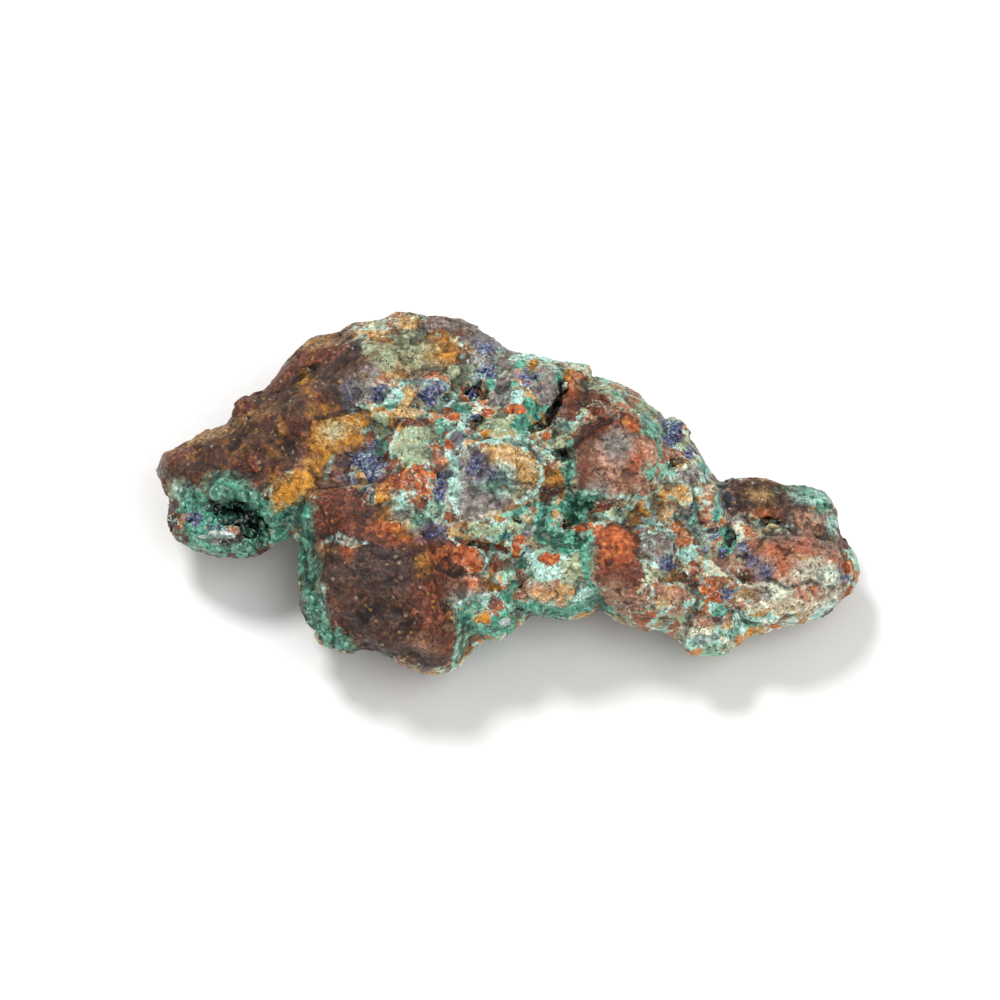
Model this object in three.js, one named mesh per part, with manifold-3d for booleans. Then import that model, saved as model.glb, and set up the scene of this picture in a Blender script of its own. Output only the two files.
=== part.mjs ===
// An azurite and malachite specimen: one lump of iron-oxide rock, with its green and blue crusts, and
// the crystal crust that lines the hollow in its left lobe. Millimetres, +Z up. The stone rests on the
// worn flat of its underside, and the origin is at the middle of its footprint, on the surface.
//
// The stone is laid out on its broad face. That face looks up and forward, and a place on it is given
// as [u, v]: u runs to the right along X, v runs up the face, and w stands out from it.
import * as THREE from "three";
import { mergeVertices } from "three/addons/utils/BufferGeometryUtils.js";
import Module from "manifold-3d";

const wasm = await Module();
wasm.setup();

// Driving dimensions.
const FACE_PITCH = THREE.MathUtils.degToRad(60); // how far above level the broad face looks
const FACE_CENTRE = new THREE.Vector3(-1.05, -1.05, 12.8); // [u, v] = [0, 0], in the part's frame
const SLAB_LEAN = 0.3; // the rim falls back by this much of w for each mm up the face
const WING_DROOP = 0.0012; // and by this much more of w for each square mm out from the middle
const FRONT_BULGE = 8.6; // how far the face stands out from the rim
const BACK_BULGE = 13.2; // how far the underside stands out behind the rim
const WING_THINNING = 0.5; // share of both bulges that is gone at the ends of the stone
const THINNING_POWER = 2.2; // 1 would thin it evenly from the middle, and more keeps to the ends
const HALF_LENGTH = 49; // from the middle to either end
const FRONT_TURN = 8.5; // width of the band in which the face turns over to the rim
const BACK_TURN = 11; // the same on the underside
const WALL_DENTS = { size: 7.5, depth: 3.4, onset: 0.3 }; // of the underside's walls, in towards its middle
const TURN_POWER = 2.3; // 2 would turn over as an ellipse does, and more is squarer
const SECTIONS = 50; // the stone's sections, from its left tip to its right tip
const FACE_STEPS = 22; // facets across the face in a section
const UNDERSIDE_STEPS = 14; // and across the underside
const STEP_CROWDING = 0.85; // how much closer the facets lie at the rim: 0 for not at all, up to 1
const LEAST_BULGE = 1.5; // neither the face nor the underside comes closer to the slab's middle
const SEAT_GAP = 0.3; // between the crystal crust and the hollow that it lines

// The rim, where the broad face turns under, from the left tip to the right tip: its upper edge, then
// its lower edge.
const UPPER_RIM = [
  [-48.1, 4.4], [-47.8, 5.9], [-46.9, 6.8], [-44.5, 7.5], [-42.5, 8.8], [-40, 9.9], [-37.2, 11.3],
  [-36.8, 12.6], [-36.3, 13.9], [-34.2, 14.6], [-32.8, 15.2], [-31.6, 17], [-29.5, 19.7], [-28, 21],
  [-27, 22.4], [-26.2, 23], [-24.5, 23.1], [-23.2, 22.8], [-21, 24.3], [-19, 25.1], [-17, 25.1],
  [-15, 26.1], [-13.6, 26.4], [-11.5, 25.6], [-9, 25.7], [-5.5, 25.1], [-3, 24], [0, 21.7],
  [1.3, 20.5], [4, 20.3], [8, 19.3], [10.6, 18.6], [12.6, 17.2], [15.5, 16.7], [19, 14.9],
  [22.5, 11.8], [26.6, 8.2], [28.2, 5.8], [29.4, 3.6], [30.1, 2.1], [31.5, 2.3], [34, 3],
  [37, 2.7], [40, 1.9], [43.5, 1.4], [46.2, 0.3], [47.1, -1.6], [47.2, -3.8], [48.2, -5.9],
  [49.6, -8.1], [50.2, -10.4],
];
const LOWER_RIM = [
  [-48.1, 4.4], [-47.8, 2.9], [-46.6, 1.5], [-46.2, 0.2], [-46.2, -3.9], [-44.4, -6.1],
  [-41, -7.3], [-36.5, -7.9], [-33, -7.2], [-31.2, -6], [-30.2, -4.3], [-29.1, -4.2],
  [-28.2, -5.6], [-27.7, -8.8], [-28.1, -11.2], [-26.9, -13], [-26.9, -15.2], [-25.4, -16.8],
  [-24.8, -18.8], [-23.3, -20.2], [-21.2, -21], [-19.2, -20.2], [-16, -21.4], [-12.6, -23.1],
  [-9.6, -24.1], [-7.4, -23.9], [-5.5, -22.8], [-3.8, -20.6], [-2.2, -19], [0.2, -18.9],
  [2.1, -17.6], [3.4, -15.8], [6, -16.1], [9.5, -16.6], [11.6, -16.2], [13.4, -15.1],
  [14.3, -14.9], [16.5, -16.6], [20, -17.9], [23.4, -18], [24.8, -18.8], [26, -20.5], [28, -21.4],
  [30.2, -21.4], [32.5, -20.2], [36, -18.5], [40, -17.5], [44, -16.5], [47.2, -14.2],
  [49.2, -12.4], [50.2, -10.4],
];
const RIM_STEPS = 200; // straight steps that each edge is measured against

// Swellings and dips of the broad face: [u, v], half length, half width, turn in degrees, rise, and the
// share of it that is level on top.
const FACE_FORMS = {
  lowerLobe: [[-16, -12], 13, 13, 0, 5.2, 0.25],
  lowerLobeFoot: [[-9.5, -19.5], 6, 4.5, 20, 2.0, 0],
  lobeShoulder: [[-22, -1.5], 5.5, 4.5, 0, 1.8, 0.3],
  ochreBoss: [[-29, 2.6], 6, 3.8, 42, 1.4, 0.2],
  ochreLedge: [[-22.5, 8.5], 7, 5, 30, 2.0, 0.3],
  tanLedge: [[-12.5, 11.3], 6.5, 1.9, -6, 1.8, 0.3],
  middle: [[-4, 3], 18, 11, 4, 3.0, 0.5],
  paleKnob: [[-11.8, 6.8], 3.2, 3.4, 0, 1.2, 0.4],
  tanPlate: [[1, 6], 4.6, 2.7, -22, 1.3, 0.6],
  upperBlock: [[3.6, 14.6], 5.2, 4.2, 20, 2.6, 0.4],
  upperValley: [[-4.5, 16.5], 4.2, 4.4, 0, -2.6, 0],
  backSaddle: [[-8, 21], 11, 4.5, -8, -1.6, 0],
  darkRidge: [[-31, 10.5], 15, 4.6, 31, 2.6, 0.1],
  darkHollow: [[-27, 17.6], 4.6, 1.7, 40, -1.8, 0],
  knobOnRim: [[-35.4, 12.9], 2.6, 2.2, 0, 1.8, 0],
  tipRoll: [[-45, 5.5], 4.5, 2.5, 20, 1.2, 0],
  hump: [[15.2, 5.2], 10.4, 8.8, 48, 4.2, 0.5],
  humpRidge: [[12.8, 12.8], 6.5, 3, 33, 2.8, 0.1],
  crackSide: [[9.5, 14], 1.9, 5, -14, 1.6, 0],
  humpFlank: [[24.6, 3], 5.6, 6.6, 20, 2.2, 0.4],
  pinkKnob: [[29, -1.3], 2.4, 4, 0, 1.8, 0.3],
  redField: [[17, -8.5], 8, 6.6, -30, 2.6, 0.5],
  redFoot: [[22.5, -14], 6, 4, -12, 1.6, 0.2],
  greenLobe: [[8.6, -10.6], 6.4, 6, 0, 3.0, 0.35],
  greenShelf: [[-1, -16.8], 4.6, 2.6, 8, 1.2, 0.2],
  orangeSlab: [[-4.6, -8.4], 4.6, 2.2, -14, 1.1, 0.4],
  whiteToe: [[28.6, -19.2], 4.4, 2.6, 5, 2.2, 0.1],
  tailFront: [[40.5, -11], 10.5, 7, -6, 3.4, 0.4],
  tailBack: [[37, 0.4], 9, 3.4, -6, -2.0, 0],
  tailTrough: [[36, -2.9], 6.5, 2.2, -4, -2.2, 0],
  greenCorner: [[45, -1.2], 3, 3, 0, 1.2, 0.2],
  lobeLip: [[-40, -5.4], 6, 2, -4, 1.8, 0],
  lobeBrow: [[-37, 1.6], 5.5, 2, -8, 1.6, 0],
};

// The same for the underside, where a rise stands out away from the face.
const UNDERSIDE_FORMS = {
  leftKeel: [[-15, -4], 15, 13, 0, 1.8, 0.4],
  rightKeel: [[17, -3], 13, 11, 0, 1.6, 0.4],
  rearHeel: [[-6, 12], 14, 8, 0, 1.6, 0.4],
  waist: [[2, -10], 4, 9, 10, -2.2, 0],
  leftWaist: [[-31, 2], 4.5, 10, -10, -2.4, 0],
  tailWaist: [[32, -5], 4, 9, 0, -2.0, 0],
  rearPocket: [[13, 14], 5, 4, 30, -2.0, 0],
  tailKeel: [[42, -9], 8, 6, -10, 1.6, 0.2],
};

// Crevices, pits and pockets cut into the face: [u, v], half length, half width, turn, depth.
const CUTS = {
  crevice: [[8.3, 14.2], 3.1, 0.55, 76, 2.6],
  creviceFoot: [[5.9, 10.5], 2.3, 0.5, 38, 2.0],
  humpGroove: [[14.1, 11.0], 4.2, 1.3, 27, 1.5],
  azuritePit: [[-3.4, 14.8], 1.5, 0.9, -15, 2.4],
  lowerPit: [[-3.6, 11.2], 0.9, 0.6, 20, 1.5],
  darkHole: [[8.7, 6.8], 1.0, 0.8, 50, 2.2],
  greenPocket: [[10.6, -1.6], 2.2, 1.7, 70, 2.6],
  pocketGap: [[12.3, -1.0], 1.3, 0.5, -60, 2.6],
  blackSlit: [[-3.9, -5.8], 2.4, 0.5, -12, 1.6],
  blackNotch: [[2.2, -2.8], 1.2, 0.5, -25, 1.6],
  flankGroove: [[24.4, 5.2], 1.9, 0.5, 30, 1.4],
  tailPit: [[31.9, -5.6], 1.5, 0.7, 82, 2.6],
  tailSlot: [[37.9, -2.9], 1.9, 0.55, 0, 2.2],
  underLip: [[-33.6, -5.6], 1.5, 0.9, 40, 2.2],
  edgeNick: [[-18.6, -19.9], 1.4, 0.9, 30, 2.0],
};

// Rounded green beads that stand out of the crust: [u, v], radius, and how far proud of the surface.
const BEAD_SINK = 0.6; // a bead's middle lies this share of its radius under its stated height
const BEADS = [
  [[-25.9, -14.3], 1.8, 0.2], [[-25.3, -16.4], 1.5, 0.2], [[-26.2, -12.3], 1.4, 0.2],
  [[-23.8, -18.8], 1.7, 0.2], [[-21.2, -19.8], 1.6, 0.1], [[-38.3, 1.2], 1.9, 0.3],
  [[-35.4, 1.2], 1.7, 0.3], [[-41, 0.8], 1.5, 0.2], [[-31.4, -1.8], 1.6, 0.2],
  [[10.4, -5.2], 1.7, 0.2], [[8.2, -1.2], 1.5, 0], [[27.2, -19.9], 1.7, 0.1], [[30.4, -19.9], 1.8, 0.1],
  [[0.6, -17.1], 1.6, 0.1], [[-3.9, 17.2], 1.4, -0.1],
];

// Angular fragments that the crust has cemented, and that stand out of the face with a ledge around
// them: [u, v], half length, half width, half thickness, turn, and how far proud of the surface.
const FRAGMENTS = [
  [[-28.6, 1.8], 5.2, 2.7, 2.0, 40, 0.6], [[-22.6, 8.8], 5.0, 3.3, 2.0, 24, 0.6],
  [[-12.2, 7.2], 3.6, 4.1, 2.6, 5, 1.1], [[-13.5, 12.2], 5.4, 2.0, 2.2, -4, 1.1],
  [[1.2, 5.8], 5.6, 3.1, 2.4, -24, 1.0], [[-4.6, 1.1], 4.3, 3.3, 1.8, 12, 0.7],
  [[6.6, 15.3], 2.4, 4.0, 2.8, -6, 1.2], [[2.6, 12.8], 3.0, 2.4, 2.2, 20, 1.0],
  [[3.2, 18.4], 3.2, 2.0, 2.2, -5, 1.0], [[10.7, 16.2], 2.2, 3.2, 2.6, -18, 1.2],
  [[9.8, 11.7], 2.1, 3.0, 2.2, 24, 1.0], [[-5.3, -8.1], 4.8, 2.3, 1.7, -22, 0.7],
  [[2.5, -6.2], 3.8, 1.5, 1.7, 55, 0.7], [[7.2, -3.6], 2.0, 3.1, 1.9, 40, 0.8],
  [[6.6, -12.8], 4.8, 2.6, 1.7, 8, 0.6], [[14.9, -7.2], 4.2, 4.8, 1.9, 10, 0.7],
  [[19.6, -10.8], 2.9, 3.8, 1.8, 5, 0.6], [[23.2, -6.2], 3.7, 2.8, 1.8, 5, 0.6],
  [[23.4, -13.6], 4.2, 2.8, 1.8, 0, 0.6], [[25.3, 0.4], 4.0, 1.9, 1.9, 5, 0.8],
  [[29, -1.8], 2.3, 3.9, 2.4, 5, 1.0], [[24.2, 9.0], 2.6, 2.6, 1.8, 40, 0.7],
  [[29.4, -12.4], 3.0, 2.4, 1.8, 20, 0.7], [[41.2, -5.9], 4.4, 1.8, 1.9, -6, 0.8],
  [[41.0, -9.8], 4.2, 2.6, 1.7, 5, 0.6], [[36.6, -14.4], 4.4, 2.6, 1.7, -10, 0.6],
  [[-13.6, -4.4], 4.8, 2.2, 1.9, 0, 0.8], [[-22.6, -1.6], 5.4, 4.0, 1.8, 10, 0.6],
  [[-18.6, 4.4], 4.2, 2.6, 1.7, 10, 0.6], [[-9.3, 15.4], 3.1, 2.3, 1.9, 40, 0.8],
  [[-18.4, 17.4], 4.2, 3.2, 1.8, 30, 0.7], [[-35.6, 12.0], 1.8, 2.5, 2.4, -10, 0.5],
  [[-20.5, -12.5], 4.6, 4.4, 1.8, 20, 0.5], [[-12.5, -12], 4.2, 3.6, 1.8, -30, 0.5],
  [[-14.5, -17.4], 4.8, 3.2, 1.8, 10, 0.5],
];
// An angular lump's corners stand in or out by this share of its size, as noise of this frequency says,
// read this far apart for one lump and the next.
const LUMP = { roughness: 0.2, frequency: 1.7, apart: 5.3 };

// The hollow in the left lobe, as two pockets that run together: [u, v], w, and half sizes along u, v, w.
const HOLLOW = [
  { at: [-37.1, -1.6], w: 3.2, half: [3.4, 2.4, 6.2] },
  { at: [-34.4, -3.8], w: 2.6, half: [2.4, 2.5, 5.6] },
];
const CRUST_WALL = 1.1; // thickness of the crust on the hollow's back
const CRUST_MOUTH = 1.0; // the crust ends this far in front of the pockets' middles
const CRYSTAL_SIDES = 6;
const CRYSTAL_POINT = 1.2; // length of a crystal's point, as a share of its radius
const CRYSTAL_RISE = 0.7; // a crystal's middle stands off the crust by this share of its half length
// Crystals that stand in each pocket: [u, v], half length, radius, and lean in degrees right and up.
const CRYSTALS = [
  [
    [[-38.4, -2.2], 1.9, 0.8, 20, 15], [[-37, -2.9], 2.2, 0.8, -10, 25],
    [[-36, -1], 2, 0.7, -20, -15],
  ],
  [
    [[-35.2, -4.8], 1.9, 0.75, 15, 30], [[-34.2, -3.2], 2.1, 0.8, -5, 0],
    [[-33.8, -2.2], 1.6, 0.7, -15, -30],
  ],
];

// Finishes: earthy brown iron oxide, and silky dark green malachite.
const ROCK = { color: 0x7a4a30, roughness: 0.75, metalness: 0 };
const CRUST = { color: 0x1f5c4a, roughness: 0.4, metalness: 0 };

// The face's own axes in the part's frame.
const ALONG = new THREE.Vector3(1, 0, 0);
const UP_FACE = new THREE.Vector3(0, Math.sin(FACE_PITCH), Math.cos(FACE_PITCH));
const OUT_OF_FACE = new THREE.Vector3(0, -Math.cos(FACE_PITCH), Math.sin(FACE_PITCH));
const FACE_FRAME = new THREE.Matrix4()
  .makeBasis(ALONG, UP_FACE, OUT_OF_FACE)
  .setPosition(FACE_CENTRE);

const edgeCurve = (points) =>
  new THREE.CatmullRomCurve3(points.map(([u, v]) => new THREE.Vector3(u, v, 0)), false, "centripetal");
const upperEdge = edgeCurve(UPPER_RIM);
const lowerEdge = edgeCurve(LOWER_RIM);
const rimLoop = [
  ...upperEdge.getSpacedPoints(RIM_STEPS).slice(0, -1),
  ...lowerEdge.getSpacedPoints(RIM_STEPS).reverse().slice(0, -1),
];

// Distance in from the rim at [u, v], and less than 0 outside it.
function insetFromRim(u, v) {
  let nearest = Infinity;
  let inside = false;
  for (let i = 0, j = rimLoop.length - 1; i < rimLoop.length; j = i++) {
    const a = rimLoop[i];
    const b = rimLoop[j];
    const du = b.x - a.x;
    const dv = b.y - a.y;
    const t = THREE.MathUtils.clamp(((u - a.x) * du + (v - a.y) * dv) / (du * du + dv * dv), 0, 1);
    nearest = Math.min(nearest, Math.hypot(u - a.x - t * du, v - a.y - t * dv));
    if (a.y > v !== b.y > v && u < ((b.x - a.x) * (v - a.y)) / (b.y - a.y) + a.x) inside = !inside;
  }
  return inside ? nearest : -nearest;
}

// The sum of a set of forms at [u, v].
function rise(forms, u, v) {
  let sum = 0;
  for (const [[cu, cv], halfLength, halfWidth, turn, height, level] of forms) {
    const c = Math.cos(THREE.MathUtils.degToRad(turn));
    const s = Math.sin(THREE.MathUtils.degToRad(turn));
    const along = ((u - cu) * c + (v - cv) * s) / halfLength;
    const across = ((v - cv) * c - (u - cu) * s) / halfWidth;
    sum += height * (1 - THREE.MathUtils.smoothstep(Math.hypot(along, across), level, 1));
  }
  return sum;
}

// Smooth noise from -1 to 1, from a hash of the whole-number lattice points around the place.
function latticeValue(i, j, k) {
  let h = Math.imul(i, 374761393) + Math.imul(j, 668265263) + Math.imul(k, 1274126177);
  h = Math.imul(h ^ (h >>> 13), 1103515245);
  return ((h ^ (h >>> 16)) >>> 0) / 2147483648 - 1;
}

function noise(x, y, z) {
  const [i, j, k] = [x, y, z].map(Math.floor);
  const [a, b, c] = [x - i, y - j, z - k].map((t) => t * t * (3 - 2 * t));
  const { lerp } = THREE.MathUtils;
  const row = (dj, dk) => lerp(latticeValue(i, j + dj, k + dk), latticeValue(i + 1, j + dj, k + dk), a);
  return lerp(lerp(row(0, 0), row(1, 0), b), lerp(row(0, 1), row(1, 1), b), c);
}

// Knobbles of the rock: broad ones, and smaller ones on them.
const KNOBBLES = [
  { size: 9, height: 1.7 },
  { size: 4.4, height: 1.1 },
];
const ROUGH_FROM = 2.5; // the knobbles reach their full height this far in from the rim
const UNDERSIDE_ROUGHER = 1.5; // and the underside's are this many times as high
const roughness = (p) =>
  KNOBBLES.reduce((sum, { size, height }) => sum + height * noise(p.x / size, p.y / size, p.z / size), 0);

// The middle of the slab, and how far the face stands in front of it and the underside behind it.
const midW = (u, v) => -SLAB_LEAN * v - WING_DROOP * u * u;
const thinning = (u) => 1 - WING_THINNING * (Math.abs(u) / HALF_LENGTH) ** THINNING_POWER;
const turnOver = (inset, band) =>
  (1 - (1 - THREE.MathUtils.clamp(inset / band, 0, 1)) ** TURN_POWER) ** (1 / TURN_POWER);

function faceW(u, v, inset = insetFromRim(u, v)) {
  const bulge = FRONT_BULGE * thinning(u) + rise(Object.values(FACE_FORMS), u, v);
  return midW(u, v) + Math.max(bulge, LEAST_BULGE) * turnOver(inset, FRONT_TURN);
}

function undersideW(u, v, inset) {
  const bulge = BACK_BULGE * thinning(u) + rise(Object.values(UNDERSIDE_FORMS), u, v);
  return midW(u, v) - Math.max(bulge, LEAST_BULGE) * turnOver(inset, BACK_TURN);
}

// The stone's skin: a ring of corners for each section, across the face and back under it, closed with
// a single corner at each tip.
const ringShares = (steps) =>
  Array.from({ length: steps }, (_, k) => {
    const even = k / steps;
    return THREE.MathUtils.lerp(even, (1 - Math.cos(Math.PI * even)) / 2, STEP_CROWDING);
  });
const FACE_SHARES = ringShares(FACE_STEPS);
const UNDERSIDE_SHARES = ringShares(UNDERSIDE_STEPS);

function faceCorner(top, bottom, share) {
  const { x: u, y: v } = top.clone().lerp(bottom, share);
  const inset = Math.max(insetFromRim(u, v), 0);
  const w = faceW(u, v, inset);
  return [u, v, w + roughness({ x: u, y: v, z: w }) * Math.min(1, inset / ROUGH_FROM)];
}

function undersideCorner(bottom, top, share) {
  const { x: u, y: v } = bottom.clone().lerp(top, share);
  const inset = Math.max(insetFromRim(u, v), 0);
  const w = undersideW(u, v, inset);
  const { size, depth, onset } = WALL_DENTS;
  const swell = (1 + noise(u / size, v / size, w / size)) / 2;
  const dent = depth * swell * Math.sin(Math.PI * share) ** onset;
  const middle = new THREE.Vector3().addVectors(bottom, top).divideScalar(2);
  const inward = middle.sub(new THREE.Vector3(u, v, 0)).clampLength(0, dent);
  const knobbles = UNDERSIDE_ROUGHER * roughness({ x: u, y: v, z: w }) * Math.min(1, inset / ROUGH_FROM);
  return [u + inward.x, v + inward.y, w - knobbles];
}

function skin() {
  const corners = [];
  for (let i = 1; i < SECTIONS; i++) {
    const top = upperEdge.getPointAt(i / SECTIONS);
    const bottom = lowerEdge.getPointAt(i / SECTIONS);
    for (const share of FACE_SHARES) corners.push(faceCorner(top, bottom, share));
    for (const share of UNDERSIDE_SHARES) corners.push(undersideCorner(bottom, top, share));
  }
  const ring = FACE_STEPS + UNDERSIDE_STEPS;
  const tips = [UPPER_RIM[0], UPPER_RIM.at(-1)].map(([u, v]) => corners.push([u, v, midW(u, v)]) - 1);
  const triangles = [];
  for (let k = 0; k < ring; k++) {
    const next = (k + 1) % ring;
    triangles.push(tips[0], next, k);
    for (let i = 0; i < SECTIONS - 2; i++) {
      const [a, b, c, d] = [i * ring + k, i * ring + next, (i + 1) * ring + next, (i + 1) * ring + k];
      triangles.push(a, c, d, a, b, c);
    }
    const last = (SECTIONS - 2) * ring;
    triangles.push(tips[1], last + k, last + next);
  }
  return new THREE.BufferGeometry()
    .setAttribute("position", new THREE.Float32BufferAttribute(corners.flat(), 3))
    .setIndex(triangles)
    .applyMatrix4(FACE_FRAME);
}

// A closed three.js geometry as a solid, its corners that lie within this of each other joined, and a
// solid as a geometry.
const WELD = 1e-5;
function solidOf(geometry) {
  const bare = geometry.clone();
  bare.deleteAttribute("normal");
  bare.deleteAttribute("uv");
  const merged = mergeVertices(bare, WELD);
  const vertProperties = new Float32Array(merged.attributes.position.array);
  return new wasm.Manifold(
    new wasm.Mesh({ numProp: 3, vertProperties, triVerts: new Uint32Array(merged.index.array) }),
  );
}

function geometryOf(solid) {
  const { numProp, vertProperties, triVerts, numVert } = solid.getMesh();
  const positions = Array.from({ length: numVert }, (_, i) => [
    ...vertProperties.subarray(i * numProp, i * numProp + 3),
  ]).flat();
  return new THREE.BufferGeometry()
    .setAttribute("position", new THREE.Float32BufferAttribute(positions, 3))
    .setIndex([...triVerts]);
}

// A form one unit in radius, made a solid on the face at [u, v] and w, turned about w and drawn out.
function setInFace(form, [u, v], w, half, turn = 0) {
  const place = new THREE.Matrix4()
    .makeTranslation(u, v, w)
    .multiply(new THREE.Matrix4().makeRotationZ(THREE.MathUtils.degToRad(turn)))
    .multiply(new THREE.Matrix4().makeScale(...half));
  return solidOf(form.applyMatrix4(place).applyMatrix4(FACE_FRAME));
}

// An angular lump, its corners put in and out in a way that its number settles.
function lump(number) {
  const form = new THREE.DodecahedronGeometry(1, 0);
  const corners = form.attributes.position;
  const corner = new THREE.Vector3();
  for (let i = 0; i < corners.count; i++) {
    corner.fromBufferAttribute(corners, i);
    const { x, y, z } = corner.clone().multiplyScalar(LUMP.frequency).addScalar(number * LUMP.apart);
    corner.multiplyScalar(1 + LUMP.roughness * noise(x, y, z));
    corners.setXYZ(i, corner.x, corner.y, corner.z);
  }
  return form;
}

const bead = () => new THREE.IcosahedronGeometry(1, 1);

// A six-sided crystal with a pointed end, standing out of the face at [u, v] and w.
function crystal([u, v], w, halfLength, radius, leanRight, leanUp) {
  const outline = [
    [0, -halfLength], [radius, -halfLength], [radius, halfLength - radius * CRYSTAL_POINT], [0, halfLength],
  ].map(([r, h]) => new THREE.Vector2(r, h));
  const place = new THREE.Matrix4()
    .makeTranslation(u, v, w)
    .multiply(new THREE.Matrix4().makeRotationY(THREE.MathUtils.degToRad(leanRight)))
    .multiply(new THREE.Matrix4().makeRotationX(THREE.MathUtils.degToRad(90 - leanUp)));
  const form = new THREE.LatheGeometry(outline, CRYSTAL_SIDES).applyMatrix4(place);
  return solidOf(form.applyMatrix4(FACE_FRAME));
}

// The hollow's pockets, each drawn in by an inset, as one solid.
function hollow(inset) {
  const pockets = HOLLOW.map(({ at, w, half }) => setInFace(bead(), at, w, half.map((h) => h - inset)));
  return pockets.reduce((a, b) => a.add(b));
}

// Everything on one side of a level of one of the frames, as a box that is larger than the stone.
const BEYOND = 200;
function beyond(frame, level, sign) {
  const box = new THREE.BoxGeometry(BEYOND, BEYOND, BEYOND).translate(0, 0, level + (sign * BEYOND) / 2);
  return solidOf(box.applyMatrix4(frame));
}

function makeStone() {
  let stone = solidOf(skin());
  FRAGMENTS.forEach(([at, halfLength, halfWidth, halfThickness, turn, proud], number) => {
    const half = [halfLength, halfWidth, halfThickness];
    stone = stone.add(setInFace(lump(number), at, faceW(...at) + proud - halfThickness, half, turn));
  });
  for (const [at, radius, proud] of BEADS) {
    const middleW = faceW(...at) + proud - BEAD_SINK * radius;
    stone = stone.add(setInFace(bead(), at, middleW, [radius, radius, radius]));
  }
  Object.values(CUTS).forEach(([at, halfLength, halfWidth, turn, depth], number) => {
    const half = [halfLength, halfWidth, depth];
    stone = stone.subtract(setInFace(lump(number), at, faceW(...at), half, turn));
  });
  stone = stone.subtract(hollow(0));
  return stone.subtract(beyond(new THREE.Matrix4(), 0, -1));
}

function makeHollowCrust() {
  const room = hollow(SEAT_GAP);
  let crust = room.subtract(hollow(SEAT_GAP + CRUST_WALL));
  HOLLOW.forEach((pocket, number) => {
    const floorW = pocket.w - pocket.half[2] + CRUST_WALL;
    for (const [at, halfLength, ...shape] of CRYSTALS[number])
      crust = crust.add(crystal(at, floorW + halfLength * CRYSTAL_RISE, halfLength, ...shape));
  });
  const mouth = Math.min(...HOLLOW.map(({ w }) => w)) + CRUST_MOUTH;
  return crust.intersect(room).subtract(beyond(FACE_FRAME, mouth, 1));
}

function named(name, solid, finish) {
  const mesh = new THREE.Mesh(geometryOf(solid), new THREE.MeshStandardMaterial(finish));
  mesh.name = name;
  return mesh;
}

const specimen = new THREE.Group();
specimen.add(named("stone", makeStone(), ROCK));
specimen.add(named("hollow_crust", makeHollowCrust(), CRUST));

export default specimen;
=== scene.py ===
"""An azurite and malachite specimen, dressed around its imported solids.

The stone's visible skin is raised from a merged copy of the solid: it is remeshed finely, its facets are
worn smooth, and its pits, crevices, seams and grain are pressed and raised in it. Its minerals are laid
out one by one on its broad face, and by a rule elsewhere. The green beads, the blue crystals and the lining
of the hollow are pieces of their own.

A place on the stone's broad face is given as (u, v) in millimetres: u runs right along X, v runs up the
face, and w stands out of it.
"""

from __future__ import annotations

import logging
import math
import random
from collections.abc import Sequence
from dataclasses import dataclass, field
from enum import Enum

import bpy
import numpy as np
from mathutils import Matrix, Vector, noise
from mathutils.bvhtree import BVHTree

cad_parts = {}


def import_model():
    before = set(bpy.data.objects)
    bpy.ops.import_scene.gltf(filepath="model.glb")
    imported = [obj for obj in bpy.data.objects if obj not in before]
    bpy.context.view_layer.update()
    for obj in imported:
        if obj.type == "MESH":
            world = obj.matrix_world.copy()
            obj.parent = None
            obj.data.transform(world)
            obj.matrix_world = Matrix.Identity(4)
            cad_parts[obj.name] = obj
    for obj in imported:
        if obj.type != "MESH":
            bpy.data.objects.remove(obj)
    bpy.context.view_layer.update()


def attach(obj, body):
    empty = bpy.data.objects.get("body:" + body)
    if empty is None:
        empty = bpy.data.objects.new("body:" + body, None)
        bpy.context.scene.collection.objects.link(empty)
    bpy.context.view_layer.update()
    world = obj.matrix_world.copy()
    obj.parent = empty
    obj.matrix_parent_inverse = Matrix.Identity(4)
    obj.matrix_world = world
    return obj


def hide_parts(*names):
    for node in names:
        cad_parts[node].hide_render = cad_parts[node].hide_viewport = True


log = logging.getLogger("specimen")

MM = 0.001


Socket = bpy.types.NodeSocket
Layer = tuple[Socket, Socket | tuple[float, ...]]
"""A share and the colour that it lays."""


class Mineral(Enum):
    """What a patch of the stone is made of. The order in which the layers lie is FINISHES'."""

    GOETHITE = "goethite"
    LIMONITE = "limonite"
    SIDERITE = "siderite"
    JASPER = "jasper"
    RUST = "rust"
    OCHRE = "ochre"
    TAN = "tan"
    SLATE = "slate"
    SAGE = "sage"
    MINT = "mint"
    MALACHITE = "malachite"
    AZURITE = "azurite"
    CALCITE = "calcite"


class Pattern(Enum):
    """What raises a surface: soft clouds, the middles of cells, or the creases between cells."""

    CLOUDS = "clouds"
    CELLS = "cells"
    CREASES = "creases"


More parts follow.
